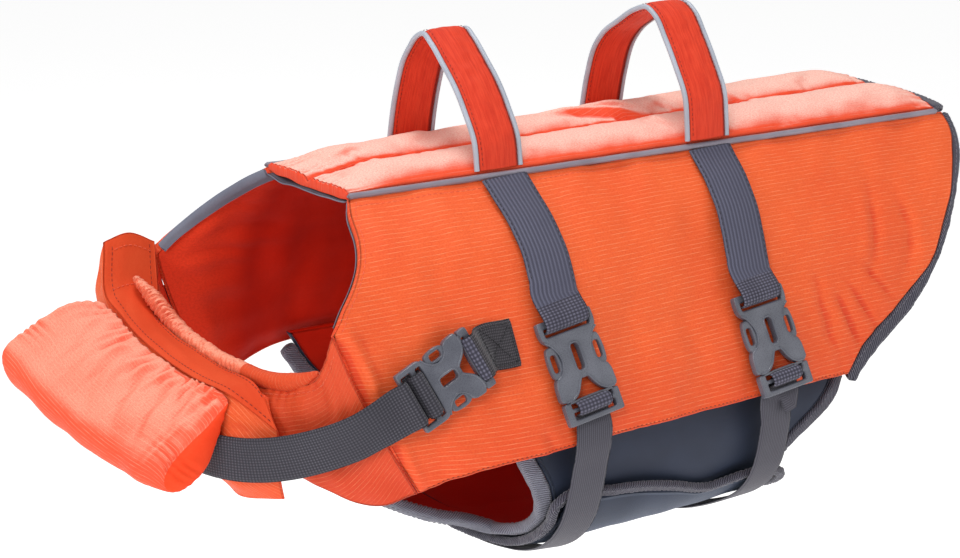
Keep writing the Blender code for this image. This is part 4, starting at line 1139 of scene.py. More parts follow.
# the last colour is painted shade along the handles' edges
HANDLE = handle_cloth("handle_webbing", (222, 66, 38), (196, 40, 18), (128, 18, 8))
SILVER = reflective("reflective_piping", (140, 134, 146), (116, 108, 120))
SILVER_LIGHT = reflective("handle_piping", (176, 182, 194), (150, 156, 168))
WEB = webbing("strap_webbing", (86, 86, 104), (64, 64, 80), (112, 112, 132), relief=0.14)
WEB_CHECK = webbing("strap_webbing_turned", (84, 82, 98), (48, 46, 58), (128, 126, 144), 2.4, 1.7)
WEB_CHEST = webbing("chest_webbing", (66, 64, 72), (42, 40, 48), (96, 94, 104), 1.6, 1.7, 0.2)
WEB_FINE = webbing("belly_webbing", (80, 78, 88), (62, 60, 68), (104, 102, 112), 1.3, relief=0.12)
PATCH = webbing("patch_webbing", (70, 66, 72), (38, 36, 40), (102, 98, 104), 1.5, 1.1)
TWILL = twill("binding_twill", (82, 80, 92), (46, 44, 54), (124, 122, 136))
TWILL_LEG = twill("leg_binding_twill", (104, 104, 118), (62, 60, 70), (158, 158, 172), 0.5, 0.4)
TAPE = plain_weave("neck_tape", (120, 124, 138), (98, 100, 114), 0.8)
NEOPRENE = neoprene("belly_neoprene", (38, 45, 64), (31, 37, 54))
PLASTIC = plastic("buckle_plastic", (98, 100, 110), (84, 86, 96))
ORANGE_THREAD = Stitches("stitches_orange", thread("orange_thread", (250, 120, 80), (226, 76, 40)), "shell")
RED_THREAD = Stitches("stitches_red", thread("red_thread", (150, 34, 18), (104, 18, 10)), "handle")
DARK_THREAD = Stitches("stitches_dark", thread("dark_thread", (44, 42, 48), (24, 22, 26)), "webbing")
GREY_THREAD = Stitches("stitches_grey", thread("grey_thread", (140, 138, 148), (96, 94, 104)), "twill")

# ---------------------------------------------------------------- side panels


def make_sides():
    outline = side_outline(*SIDE_GRID)
    x, depth = outline[..., 0], outline[..., 1]
    outer = flank_points(x, depth)
    normals = normals_of(outer, FLANK_INSIDE)
    across, down = side_tapers(outer)
    thick = EDGE_THICK + (SIDE_THICK - EDGE_THICK) * across * down
    uv = stacked(x - NECK_EDGE[-1][0], flank_run(depth))
    edge = np.minimum(across, np.clip(down * 4, 0, 1))
    for side, name in SIDES:
        inward = creased(x, depth, LINING_CREASES) + 0.8 * waves(x, depth, 30, 20 + side)
        face = outer + normals * side_relief(x, depth, side)[..., None]
        back = outer - normals * (thick + inward * edge * 0.8)[..., None]
        panel = wall(f"flank_{name}", turned(face, side), turned(back, side), uv, [SHELL, LINING, SHELL], 0.9)
        finished(panel, "shell", f"side_panel_{name}")
        sew_side(side)


def sew_side(side):
    """Seams along the piping, the neck edge and the hem."""

    def line(x, depth, sewing, **sizes):
        points, normals = flank_frame(x, depth)
        points = points + normals * side_relief(x, depth, side)[..., None]
        sewing.row(turned(points, side), turned(normals, side), **sizes)

    line(np.linspace(-208, 198, 200), np.full(200, 3.8), ORANGE_THREAD, radius=0.24, lift=0.1)
    neck = curve(NECK_EDGE, 60)
    line(neck[:, 0] + 3.4, neck[:, 1] + 0.6, ORANGE_THREAD, radius=0.24, lift=0.1)
    hem = curve(HEM, 200, 4, 2)
    line(hem[:, 0], hem[:, 1] - 1.5, RED_THREAD, radius=0.2, lift=0.0, length=1.5, gap=1.3)


# ---------------------------------------------------------------- back panel


def back_relief(x, y, beside, half):
    """Heights of the back panel's creases and gathers, `beside` away from its seam and `half` wide there."""
    lift = creased(x, y, BACK_CREASES)
    lift += gathers(x, beside, 9, 0.8, 9.5, 32)
    lift += gathers(x, half - beside, 7, 0.45, 5.2, 34)
    lift += gathers(y, x + BACK_HALF, 16, 0.5, 4.8, 36)
    lift += gathers(y, BACK_HALF - BINDING[0] - x, 12, 0.5, 6.0, 38)
    lift += 0.22 * waves(x, y, 34, 40) + 0.08 * waves(x, y, 12, 41)
    return lift


def make_back():
    rows, columns = BACK_GRID
    even_rows = np.linspace(-1, 1, rows)
    xs = np.linspace(-BACK_HALF, BACK_HALF - BINDING[0] - GAP, columns)
    inner, outer = back_grid(xs, np.sin(even_rows * pi / 2) * 0.35 + even_rows * 0.65)
    x, y = outer[..., 0], outer[..., 1]
    half = half_width(x, 0) - TUCK
    seam = 1.2 * waves(x, 0 * x, 34, 31) + 2.6 * np.exp(-(((x - 8) / 16) ** 2)) * np.sin((x - 8) / 7)
    beside = np.abs(y)
    outer[..., 1] += seam * np.exp(-((y / 9) ** 2))
    lift = back_relief(x, y, beside, half) - 2.2 * np.exp(-((y / 2.0) ** 2))
    keep = np.clip((half - beside) / 2.5, 0.12, 1)
    outer = outer + normals_of(outer, (0, 0, -100)) * (lift * keep)[..., None]
    outer[..., 2] = np.maximum(outer[..., 2], inner[..., 2] + 1.2)
    uv = stacked(x + BACK_HALF, run_of(outer[:, 60])[:, None])
    inner[..., 2] += 0.5 * waves(x, y, 30, 43) * np.clip((half - beside) / 10, 0, 1)
    panel = wall("quilted_back", outer, inner, uv, [TOP, LINING, TOP], 1.0)
    finished(panel, "top", "back_panel")
    seam_line = outer[rows // 2, 4:-4]
    ORANGE_THREAD.row(seam_line, np.tile([0.0, 0.0, 1.0], (len(seam_line), 1)), radius=0.24, lift=0.15)


def make_pipings():
    xs = np.linspace(-BACK_HALF - 1, BACK_HALF - BINDING[0] - GAP, 240)
    wander = 0.18 * waves(xs, 0 * xs, 24, 50)
    path = stacked(xs, half_width(xs, 0) + 1.0 + wander, 0.7 + 0.5 * wander)
    facing = np.tile([0.0, 0.3, 1.0], (len(xs), 1))
    profile = ring_profile(PIPING_RADIUS, 18)
    for side, name in SIDES:
        piping = band(f"seam_piping_{name}", turned(path, side), facing, profile, [SILVER], rounding=1.6)
        finished(piping, "reflective", f"piping_{name}")


# ---------------------------------------------------------------- tapes and bindings


def make_neck_tapes():
    edge = curve(NECK_EDGE, 60, end=5)
    points, normals = flank_frame(edge[:, 0], edge[:, 1])
    inward = unit(np.cross(normals, unit(np.gradient(points, axis=0))))
    inward *= np.sign(inward[:, :1])
    run = run_of(points)
    reach = (5.5 - 4.0 * eased(run / run[-1]))[:, None]
    # over the edge's rim and onto the lining: in from the edge, and down from the shell
    rim = np.array(((0.3, 0.3), (-0.5, 0.1), (-0.9, -0.9), (-1.0, -2.4), (-0.6, -4.1), (0.6, -4.9)))
    around = np.linspace(0, 1, 9)[1:]
    section = np.concatenate([rim, stacked(0.6 + around, -5.0 - 1.4 * around)])
    across, down = section.T[:, None]
    stretch = np.where(across > 0.6, (across - 0.6) * (reach - 0.6) + 0.6, across)
    lines = points[:, None] + inward[:, None] * stretch[..., None] + normals[:, None] * down[..., None]
    low = lines + (inward[:, None] * 0.5 - normals[:, None] * 0.1)
    low[:, len(rim) :] = lines[:, len(rim) :] + normals[:, None] * 0.6
    uv = stacked(np.arange(len(section))[None, :] * 1.1, run[:, None])
    for side, name in SIDES:
        part = slice(None) if side == RIGHT else slice(3, None)  # the left tape stays behind the rim
        faces = turned(lines[:, part], side), turned(low[:, part], side)
        finished(wall(f"tape_neck_{name}", *faces, uv[:, part], [TAPE], 0.2), "twill", f"neck_tape_{name}")


def make_top_tape():
    shares = np.linspace(-0.96, 0.96, 60)
    inner, _ = back_grid(np.linspace(-BACK_HALF - 1.4, -BACK_HALF + 11, 8), shares)
    sag = 1.9 * np.exp(-(((shares - 0.62) / 0.26) ** 2))[:, None]
    inner[..., 2] -= GAP + 0.5 + sag + 0.2 * waves(inner[..., 0], inner[..., 1], 12, 53)
    tape = wall("tape_neck_top", inner, inner - [0, 0, 0.8], inner[..., 1::-1], [TAPE], 0.3)
    finished(tape, "twill", "neck_tape_top")


def bound_edge(name, path, facing, profile, finish, node, seed, widths=(1, 1)):
    """A binding along an edge, `widths` times its width from start to end, with stitches along each face."""
    path, facing = even(path, facing, 1.6)
    turns = np.arange(len(profile))[None, :] * 1.1
    run = run_of(path)[:, None]
    swell = 0.14 * waves(run, turns, 9, seed) + 0.06 * waves(run, turns * 2, 3.2, seed + 1)
    wide = np.interp(np.linspace(0, 1, len(path)), np.linspace(0, 1, len(widths)), widths)
    outline = profile[None] * stacked(wide, 1.0)[:, None]
    finished(band(name, path, facing, outline, [finish], swell, rounding=2.4), "twill", node)
    across, out = frames_along(path, facing)
    half, thick = profile[:, 0].max() * wide[:, None], profile[:, 1].max()
    for face in (-1, 1):
        for way in (-1, 1):
            line = path + across * way * half * 0.6 + out * face * thick * 0.95
            GREY_THREAD.row(line[2:-2], out[2:-2] * face, radius=0.22, lift=0.05, length=2.4, gap=1.2)


def make_tail_bindings():
    outline = side_outline(6, 8, 23)
    outer = flank_points(outline[..., 0], outline[..., 1])
    across, down = side_tapers(outer)
    inner = moved_out(outer, -(EDGE_THICK + (SIDE_THICK - EDGE_THICK) * across * down), FLANK_INSIDE)
    middle = (outer + inner) / 2
    normals = normals_of(outer, FLANK_INSIDE)[:, -1]
    widths = 1 - 0.95 * tail_reach(outline[:, -1, 1]) / BINDING[0]
    path = beyond_edge(middle[:, -1], middle[:, -2], normals, (widths * BINDING[0] / 2 + GAP)[:, None])
    path, facing = curve(path, 17, start=0.5), curve(normals, 17)
    profile = oval_profile(*BINDING)
    for (side, name), seed in zip(reversed(SIDES), (61, 63)):
        edge = turned(path, side), turned(facing, side)
        bound_edge(f"edge_tail_{name}", *edge, profile, TWILL, f"tail_binding_{name}", seed, widths)
    inner, outer = back_grid(np.array([BACK_HALF]), np.linspace(-0.985, 0.985, 21))
    top = (inner[:, 0] + outer[:, 0]) / 2 - [BINDING[0] / 2, 0, 0]
    up = np.tile([0.0, 0.0, 1.0], (len(top), 1))
    bound_edge("edge_tail_top", top, up, profile, TWILL, "tail_binding_top", 65)


# ---------------------------------------------------------------- neck and chest


def make_yoke():
    outer = yoke_grid(*YOKE_GRID)
    normals = normals_of(outer, YOKE_INSIDE)
    along, down = grid_run(outer)
    lift = creased(along, down, YOKE_CREASES)
    lift += 0.5 * waves(along, down, 26, 70) + gathers(along, down, 8, 0.5, 7, 71)
    lift *= np.clip(np.minimum(along, along[:, -1:] - along) / 6, 0, 1)
    face = outer + normals * lift[..., None]
    uv = stacked(along, down)
    cloth = wall("yoke_cloth", face, face - normals * CLOTH, uv, [YOKE_SHADED_CLOTH, LINING, YOKE_SHADED_CLOTH], 0.7)
    finished(cloth, "shell", "chest_yoke")
    ORANGE_THREAD.row(face[3, 3:-3], normals[3, 3:-3], radius=0.24, lift=0.1)


def make_roll():
    count, sides = 420, 26
    path = curve(ROLL, count)
    run = run_of(path)
    share = run / run[-1]
    path[:, 2] -= 4.0 * (1 - eased(share / 0.45))
    fade = 0.12 + 0.88 * eased((share - 0.28) / 0.2)
    ends = np.clip(np.minimum(share / 0.12, (1 - share) / 0.1), 0, 1) ** 0.5
    facing = unit(path - np.array([-200.0, 0.0, -40.0]))
    outline = ring_profile(ROLL_RADIUS, sides, 0.9)[None] * (0.1 + 0.9 * ends)[:, None, None]
    turns = np.linspace(0, 2 * pi, sides, endpoint=False)[None]
    skew = run[:, None] + 1.8 * np.sin(turns + 0.6) + 1.3 * waves(turns * 3, 0 * turns, 9, 73)
    pinch = 0.4 * gathers(skew, 0 * skew, 1, 1.0, 3.3, 74) + 0.24 * waves(skew, turns * 4, 3.0, 75)
    near = (share[1:] < 0.34).astype(int)[:, None]  # here the roll is of the yoke's cloth
    cloths = [ROLL_CLOTH, YOKE_SHADED_CLOTH]
    roll = band("gathered_roll", path, facing, outline, cloths, fade[:, None] * pinch, near)
    finished(roll, "top", "neck_roll")


def make_flap():
    outer = flap_grid(LAPEL_ROWS, FRONT_ROWS, FLAP_COLUMNS)
    normals = normals_of(outer, FLAP_INSIDE)
    along, down = grid_run(outer)
    front = np.clip((down - down[LAPEL_ROWS] - 2) / 8, 0, 1)
    lift = creased(along, down, FLAP_CREASES) * front + 0.4 * waves(along, down, 24, 80) * front
    face = outer + normals * lift[..., None]
    uv = stacked(along, down)
    cloth = wall("flap_cloth", face, face - normals * CLOTH, uv, [SHELL, LINING, SHELL], 0.7)
    finished(cloth, "shell", "chest_flap")
    make_facing(outer[:LAPEL_ROWS], normals[:LAPEL_ROWS], uv[:LAPEL_ROWS])


def make_facing(base, up, uv):
    """The lapel's facing, over the flap's rows `base`, with its sewing."""
    low = base + up * GAP
    high = base + up * (GAP + SKIN_THICK + 0.12 * waves(uv[..., 0], uv[..., 1], 15, 81))[..., None]
    skin = wall("facing_cloth", high, low, uv, [FACING], 0.4)
    finished(skin, "facing", "flap_facing")
    for row in (LAPEL_ROWS - 5, 3):
        RED_THREAD.row(high[row, 3:-3], up[row, 3:-3], radius=0.22, lift=0.1, length=2.2, gap=0.9)
    for column in (-8, -30):
        ORANGE_THREAD.row(high[2:-3, column], up[2:-3, column], radius=0.26, lift=0.15, length=2.4, gap=0.8)


def float_rings():
    """The float's rings and their y, from its near end to its far end, and the way round each of them."""
    stations, around = FLOAT_GRID
    shares = np.linspace(0, 1, stations)
    fold = np.array([station[FLAP_FOLD] for station in FLAP], float)
    near, far = (curve(ring + ring[:1], around)[None] for ring in (FLOAT_NEAR, FLOAT_FAR))
    ys = FLOAT_ENDS[0] + (FLOAT_ENDS[1] - FLOAT_ENDS[0]) * shares
    flat = near * (1 - shares)[:, None, None] + far * shares[:, None, None]
    centre = flat.mean(axis=1, keepdims=True)
    from_end = np.minimum(ys - ys[0], ys[-1] - ys)
    close = np.clip(from_end / 7, 0, 1)
    flat = centre + (flat - centre) * (0.93 + 0.07 * np.sqrt(1 - (1 - close) ** 2))[:, None, None]
    x0 = smooth(fold[:, 1], fold[:, 0], ys)[:, None] - 2.4
    z0 = smooth(fold[:, 1], fold[:, 2], ys)[:, None] + 1.2
    rings = stacked(x0 + flat[..., 0], ys[:, None], z0 + flat[..., 1])
    way = grid_run(rings)[0]
    y = rings[..., 1]
    out = unit(np.cross(np.gradient(rings, axis=0), np.gradient(rings, axis=1)))
    out *= np.sign(np.sum(out * (rings - rings.mean(axis=1, keepdims=True))))
    lift = 0.75 * creased(y, way, FLOAT_CREASES)
    lift += gathers(y, way, 22, 0.8, 6.8, 90) + gathers(y, way[:, -1:] - way, 14, 0.7, 8.0, 92)
    lift += gathers(way, from_end[:, None], 7, 0.5, 6.5, 94)
    lift += 0.5 * waves(y, way * 0.6, 22, 96)
    return rings + out * lift[..., None], ys, way


def add_float_end(patches, rings, index, end, way_out):
    """A bulging patch of plain cloth over one end of the float."""
    half = rings.shape[1] // 2
    upper, lower = rings[end, :half], rings[end, -1 : -half - 1 : -1]
    across = np.linspace(0, 1, 13)[:, None, None]
    cap = upper[None] * (1 - across) + lower[None] * across
    thick = np.linalg.norm(upper - lower, axis=1)
    cap[..., 1] += way_out * 0.26 * thick[None] * np.sqrt(1 - (2 * across[..., 0] - 1) ** 2)
    numbers = np.empty(cap.shape[:2], int)
    numbers[0], numbers[-1] = index[end, :half], index[end, -1 : -half - 1 : -1]
    numbers[1:-1] = patches.add_points(cap[1:-1])
    numbers[1:-1, 0], numbers[1:-1, -1] = index[end, 0], index[end, half - 1]
    turn = way_out  # the rows run the other way at the near end
    patches.add_grid(numbers[::turn], cap[::turn, :, ::2], 1)


def make_float():
    """The chin float: foam in a gathered cover, with a plain panel sewn into each end."""
    rings, ys, way = float_rings()
    patches = Patches()
    index = closed(patches.add_points(rings[:, :-1]))
    patches.add_grid(index, stacked(way, ys[:, None]), 0)
    for end, way_out in ((0, -1), (-1, 1)):
        add_float_end(patches, rings, index, end, way_out)
    cushion = patches.made("chin_cushion", [FLOAT_CLOTH, FLOAT_END])
    finished(cushion, "top", "chin_float")


# ---------------------------------------------------------------- belly


def make_belly():
    outer = belly_grid(np.linspace(-1, 1, BELLY_GRID[0]), BELLY_GRID[1])
    along, down = grid_run(outer)
    lift = 0.35 * waves(along, down, 40, 100) * np.clip(np.minimum(along, along[:, -1:] - along) / 8, 0, 1)
    normals = normals_of(outer, BELLY_INSIDE)
    face = outer + normals * lift[..., None]
    cloths = [NEOPRENE, LINING, NEOPRENE]
    panel = wall("belly_cloth", face, face - normals * BELLY_THICK, stacked(along, down), cloths, 1.2, 1)
    finished(panel, "neoprene", "belly_panel")
    outer = tongue_grid(*TONGUE_GRID)
    inner = moved_out(outer, -BELLY_THICK, TONGUE_INSIDE)
    panel = wall("tongue_cloth", outer, inner, stacked(*grid_run(outer)), cloths, 1.2)
    finished(panel, "neoprene", "belly_tongue")


def make_belly_flap():
    base = belly_flap_grid(*BELLY_FLAP_GRID)
    along, down = grid_run(base)
    low = moved_out(base, FLAP_LIFT, BELLY_INSIDE)
    high = moved_out(base, FLAP_LIFT + FLAP_WALL + 0.25 * waves(along, down, 36, 104), BELLY_INSIDE)
    panel = wall("belly_flap_cloth", high, low, stacked(along, down), [NEOPRENE], 1.0)
    finished(panel, "neoprene", "belly_flap")


def make_flap_binding():
    """The binding round the belly flap's left, front and rear edges."""
    coarse = belly_flap_grid(14, 16)
    normals = normals_of(coarse, BELLY_INSIDE)
    middle = coarse + normals * (FLAP_LIFT + FLAP_WALL / 2)

    def round_edge(grid, step):
        """The grid's values round the flap, `step` rows or columns in from its edge."""
        return np.concatenate([grid[6:0:-1, step], grid[step, :], grid[1:7, -1 - step]])

    out = round_edge(normals, 0)
    apart = np.full((len(out), 1), 4.4)
    apart[5:8] = apart[-8:-5] = 5.6
    path = beyond_edge(round_edge(middle, 0), round_edge(middle, 1), out, apart)
    profile = oval_profile(*FLAP_BINDING, 24)
    bound_edge("edge_belly_flap", curve(path, 34), curve(out, 34), profile, TWILL, "flap_binding", 106)


def make_belly_bindings():
    outer = belly_grid(np.linspace(-0.965, 0.965, 33), 13)
    middle = (outer + moved_out(outer, -BELLY_THICK, BELLY_INSIDE)) / 2
    normals = normals_of(outer, BELLY_INSIDE)
    path = beyond_edge(middle[:, -1], middle[:, -2], normals[:, -1], BINDING[0] / 2 + 3 * GAP)
    rear = curve(path, 30), curve(normals[:, -1], 30)
    bound_edge("edge_belly", *rear, oval_profile(*BINDING), TWILL, "belly_binding", 108)
    tongue = tongue_grid(8, 7)
    mid = (tongue + moved_out(tongue, -BELLY_THICK, TONGUE_INSIDE)) / 2
    up = normals_of(tongue, TONGUE_INSIDE)
    away = LEG_BINDING[0] / 2 + GAP
    edges = ((slice(0, 11), 0, 1), (slice(-1, -12, -1), -1, -2))
    for (side, name), (rows, column, further) in zip(SIDES, edges):
        near = beyond_edge(middle[rows, 0], middle[rows, 1], normals[rows, 0], away)
        along = beyond_edge(mid[:, column], mid[:, further], up[:, column], away)[1:]
        path = curve(np.concatenate([near, along]), 24)
        facing = curve(np.concatenate([normals[rows, 0], up[1:, column]]), 24)
        profile, node = oval_profile(*LEG_BINDING), f"leg_binding_{name}"
        bound_edge(f"edge_leg_{name}", path, facing, profile, TWILL_LEG, node, 110 + side)


# ---------------------------------------------------------------- handles


def handle_section(x, run):
    """The handle's outline at each point of its run: a padded ridge over a flatter back."""
    half, thick = HANDLE_WIDTH / 2, HANDLE_THICK / 2
    u = np.linspace(-1, 1, 31)[None]
    wander = (0.10 * np.sin(run / 21 + x) + 0.05 * np.sin(run / 9))[:, None]
    ridge = 1 - np.abs(np.clip(u - wander, -1, 1)) ** 1.15
    rise = thick * (0.62 + 0.42 * ridge) * (1 - np.abs(u) ** 10) ** 0.5
    rise += 0.12 * waves(u * half, run[:, None], 9, 120)
    rise[:, [0, -1]] = thick * 0.3
    lower = stacked(u * half, -thick * (0.6 + 0.25 * ridge))[:, ::-1]
    return np.concatenate([stacked(u * half, rise), lower], axis=1)


def make_handle(name, x, line):
    path = curve([(x, y, z) for y, z in line], 170)
    facing = unit(path - np.array([x, 0.0, 10.0]))
    strap = band(f"{name}_strap", path, facing, handle_section(x, run_of(path)), [HANDLE])
    finished(strap, "handle", name)
    across, out = frames_along(path, facing)
    half, sewn = HANDLE_WIDTH / 2, slice(2, -2)
    for tag, side in (("a", -1), ("b", 1)):
        beside = path + across * side * (half + HANDLE_PIPING + GAP)
        profile = ring_profile(HANDLE_PIPING, 16)
        piping = band(f"{name}_edge_{tag}", beside, facing, profile, [SILVER_LIGHT])
        finished(piping, "reflective", f"{name}_piping_{tag}")
        for face in (-1, 1):
            seam = path + across * side * (half - 1.0) + out * face * HANDLE_THICK * 0.36
            RED_THREAD.row(seam[sewn], out[sewn] * face, radius=0.2, lift=0.1, length=2.0, gap=0.9)


# ---------------------------------------------------------------- buckles


def buckle_frame(name):
    """Origin, direction from socket to plug, outward normal and scales of a buckle on the left side."""
    (x0, d0), (x1, d1), wide, long, stand = BUCKLES[name]
    (start, first), (end, last) = flank_frame(x0, d0), flank_frame(x1, d1)
    along = unit(end - start)
    out = first + last
    out = unit(out - along * np.dot(out, along))
    across = np.cross(along, out)
    rise = []
    for t in np.linspace(0, 1, 5):
        for u in (-19, 0, 19):
            corner = start + (end - start) * t + across * u * wide
            rise.append(float(np.dot(flank_points(corner[0], -corner[2]) - start, out)))
    base = start + out * (max(rise) + stand)
    along = unit(end - start + out * (PLUG_STAND - stand))
    out = unit(out - along * np.dot(out, along))
    return turned(base, LEFT), turned(along, LEFT), turned(out, LEFT), wide, long


def rounded(corners, radius, steps=5):
    """A polygon with its corners rounded."""
    made = []
    corners = np.array(corners, float)
    for corner, before, after in zip(corners, np.roll(corners, 1, axis=0), np.roll(corners, -1, axis=0)):
        before, after = before - corner, after - corner
        room = min(radius, np.linalg.norm(before) * 0.45, np.linalg.norm(after) * 0.45)
        start, end = corner + unit(before) * room, corner + unit(after) * room
        for t in np.linspace(0, 1, steps):
            made.append(tuple(start * (1 - t) ** 2 + corner * 2 * t * (1 - t) + end * t * t))
    return made


def slot_outline(u, s, width, length, radius):
    corners = ((-1, -1), (1, -1), (1, 1), (-1, 1))
    return rounded([(u + a * width / 2, s + b * length / 2) for a, b in corners], radius)


class Moulding:
    """Plastic parts of one buckle piece, drawn in (across, along) in the buckle's frame and joined."""

    def __init__(self, name, frame):
        self.name = name
        self.origin, self.along, self.out, self.wide, self.long = frame
        self.across = np.cross(self.along, self.out)
        self.parts = []

    def draw(self, rings, rise, radius, closed_rings=True):
        """A curve through the rings, its bevel `radius` high, `rise` over the buckle's base."""
        drawn = bpy.data.curves.new(self.name, "CURVE")
        drawn.bevel_depth = radius * self.wide * MM
        drawn.bevel_resolution = 3
        for ring in rings:
            spline = drawn.splines.new("POLY")
            spline.points.add(len(ring) - 1)
            for point, (u, s) in zip(spline.points, ring):
                point.co = (u * self.wide * MM, s * self.long * MM, 0, 1)
            spline.use_cyclic_u = closed_rings
        axes = stacked(self.across, self.along, np.cross(self.across, self.along))
        centre = (self.origin + self.out * rise * self.wide) * MM
        self.parts.append((drawn, Matrix.Translation(Vector(centre)) @ Matrix(axes.tolist()).to_4x4()))
        return drawn

    def plate(self, outline, holes, low, high, bevel):
        """A plate with rounded edges between two heights over the buckle's base."""
        drawn = self.draw([outline, *holes], (low + high) / 2, bevel)
        drawn.dimensions = "2D"
        drawn.fill_mode = "BOTH"
        drawn.offset = -bevel * self.wide * MM
        drawn.extrude = ((high - low) / 2 - bevel) * self.wide * MM

    def ridge(self, line, rise, radius, ring=False):
        """A rounded bead along a line of (across, along)."""
        drawn = self.draw([line], rise, radius, ring)
        drawn.dimensions = "3D"
        drawn.use_fill_caps = True

    def made(self, node):
        graph = bpy.context.evaluated_depsgraph_get()
        points, faces = [], []
        for drawn, matrix in self.parts:
            holder = bpy.data.objects.new("drawn", drawn)
            bpy.context.scene.collection.objects.link(holder)
            graph.update()
            shape = bpy.data.meshes.new_from_object(holder.evaluated_get(graph))
            shape.transform(matrix)
            start = len(points)
            points += [tuple(v.co) for v in shape.vertices]
            faces += [tuple(start + i for i in p.vertices) for p in shape.polygons]
            bpy.data.objects.remove(holder)
            bpy.data.meshes.remove(shape)
        mesh = bpy.data.meshes.new(self.name)
        mesh.from_pydata(points, [], faces)
        mesh.materials.append(PLASTIC)
        mesh.shade_smooth()
        mesh.set_sharp_from_angle(angle=radians(38))
        finished(placed(self.name, mesh), "plastic", node)


# Right halves, in (across, along) from the socket's bar.
SOCKET_HALF = (  # the socket, from its bar round to the notch between its feet
    (19.3, 0.0), (19.5, 7.0), (18.7, 10.6), (15.6, 13.2), (13.3, 16.2), (11.4, 20.0), (11.1, 24.0),
    (12.2, 28.2), (14.6, 31.2), (18.4, 32.6), (19.9, 36.5), (20.2, 44.6), (18.6, 46.3), (12.4, 46.6),
    (8.6, 44.2), (5.6, 40.4), (3.6, 36.4),
)
MOUTH = ((1.2, 34.2), (3.6, 36.6), (5.8, 40.6), (8.6, 44.0), (12.6, 46.1), (18.6, 45.9))
WAIST = ((18.4, 11.2), (15.4, 13.4), (12.9, 16.6), (11.2, 20.2), (10.6, 24.0), (11.8, 28.6), (14.4, 31.8))
PLUG_HALF = ((9.0, 46.2), (9.6, 46.9), (19.5, 46.9))  # the plug's edge towards the socket
ARM_RING = (  # the plug's side arm, a ring round an oval hole
    (14.0, 14.2), (18.2, 14.6), (19.4, 18.4), (19.9, 24.0), (19.6, 29.0), (18.6, 32.4), (14.4, 33.6),
    (11.6, 29.6), (11.2, 24.0), (11.8, 18.6),
)


def on_side(line, side):
    return [(side * u, s) for u, s in line]


def make_socket(name, frame, ladder):
    top = BUCKLE_THICK
    outline = list(SOCKET_HALF) + on_side(reversed(SOCKET_HALF), LEFT)
    holes = [slot_outline(0, 6.6, 32.0, 4.8, 1.2), slot_outline(0, 24.2, 5.6, 15.2, 2.8)]
    if ladder:
        outline[0], outline[-1] = (SOCKET_HALF[0][0], -ladder), (-SOCKET_HALF[0][0], -ladder)
        holes.append(slot_outline(0, 1.3 - ladder / 2, 32.0, ladder - 2.6, 1.2))
    body = Moulding(f"{name}_body", frame)
    body.plate(rounded(outline, 1.6, 4), holes, 0.0, top - 0.5, 1.0)
    body.ridge(slot_outline(0, 24.2, 7.0, 16.8, 3.5), top - 0.75, 0.75, ring=True)
    for side in (LEFT, RIGHT):
        body.ridge(rounded(on_side(MOUTH, side), 2.0)[3:-3], top - 0.8, 0.8)
        body.ridge([tuple(point) for point in curve(on_side(WAIST, side), 16)], top - 0.85, 0.6)
    body.made(f"{name}_socket")


def make_plug(name, frame, end, bars):
    """The plug, up to `end` along the buckle. `bars` has the (place, length) of each slot beside its bars."""
    plug = Moulding(f"{name}_latch", frame)
    edge = on_side(reversed(PLUG_HALF), LEFT) + list(PLUG_HALF) + [(19.5, end), (-19.5, end)]
    holes = [slot_outline(0, s, 29.5, length, 0.8) for s, length in bars]
    plug.plate(rounded(edge, 1.8, 4), holes, 0.0, BUCKLE_THICK * 0.85, 0.8)
    for side in (LEFT, RIGHT):
        hole = on_side(slot_outline(15.4, 24.0, 4.4, 10.2, 2.2), side)
        plug.plate(rounded(on_side(ARM_RING, side), 2.2, 4), [hole], 0.5, BUCKLE_THICK - 1.3, 0.7)
    plug.made(f"{name}_plug")


# ---------------------------------------------------------------- webbing


def strap_outline(width, ribs):
    """A strap's section: `ribs` ridges over each face, or a plain face for none, and rounded selvedges."""
    u = np.linspace(-1, 1, ribs * 5 + 1 if ribs else 29)
    across = u * (width / 2 - WEB_THICK * 0.35)
    height = RIB_RISE if ribs else 0.0
    rise = (WEB_THICK / 2 - height + height * np.cos(pi * ribs * u)) * (1 - np.abs(u) ** 14) ** 0.5
    side = np.array([[width / 2, 0.0]])
    return np.concatenate([stacked(across, rise), side, stacked(across, -rise)[::-1], -side])


def ribbon(name, node, run, width, finishes, slots_at=(), ribs=0):
    """A strap along a run of points and outward directions; gives its even path and directions.

    `slots_at` holds (length, finish) pairs: from there on the strap shows that finish.
    """
    path, facing = even(*run, STRAP_STEP)
    lengths = (run_of(path)[1:] + run_of(path)[:-1]) / 2
    slots = np.zeros((len(lengths), 1), int)
    for start, slot in slots_at:
        slots[lengths >= start] = slot
    strap = band(name, path, facing, strap_outline(width, ribs), finishes, slots=slots)
    finished(strap, "webbing", node)
    return path, facing


def side_strap_path(x, depths, lift, side=RIGHT):
    points, facing = flank_frame(x, depths)
    relief = side_relief(points[..., 0], -points[..., 2], side)
    return points + facing * (lift + np.maximum(relief, -0.6) * 0.5)[:, None], facing


def loop_of(frame, pairs, backwards=False):
    """Points and outward directions of webbing in a buckle's frame, `backwards` if it runs to the socket."""
    origin, along, out, wide, long = frame
    at = np.array(pairs) * (long, wide)
    steps = unit(np.gradient(at, axis=0)) * (-1 if backwards else 1)
    return origin + at @ [along, out], steps[:, ::-1] @ [-along, out]


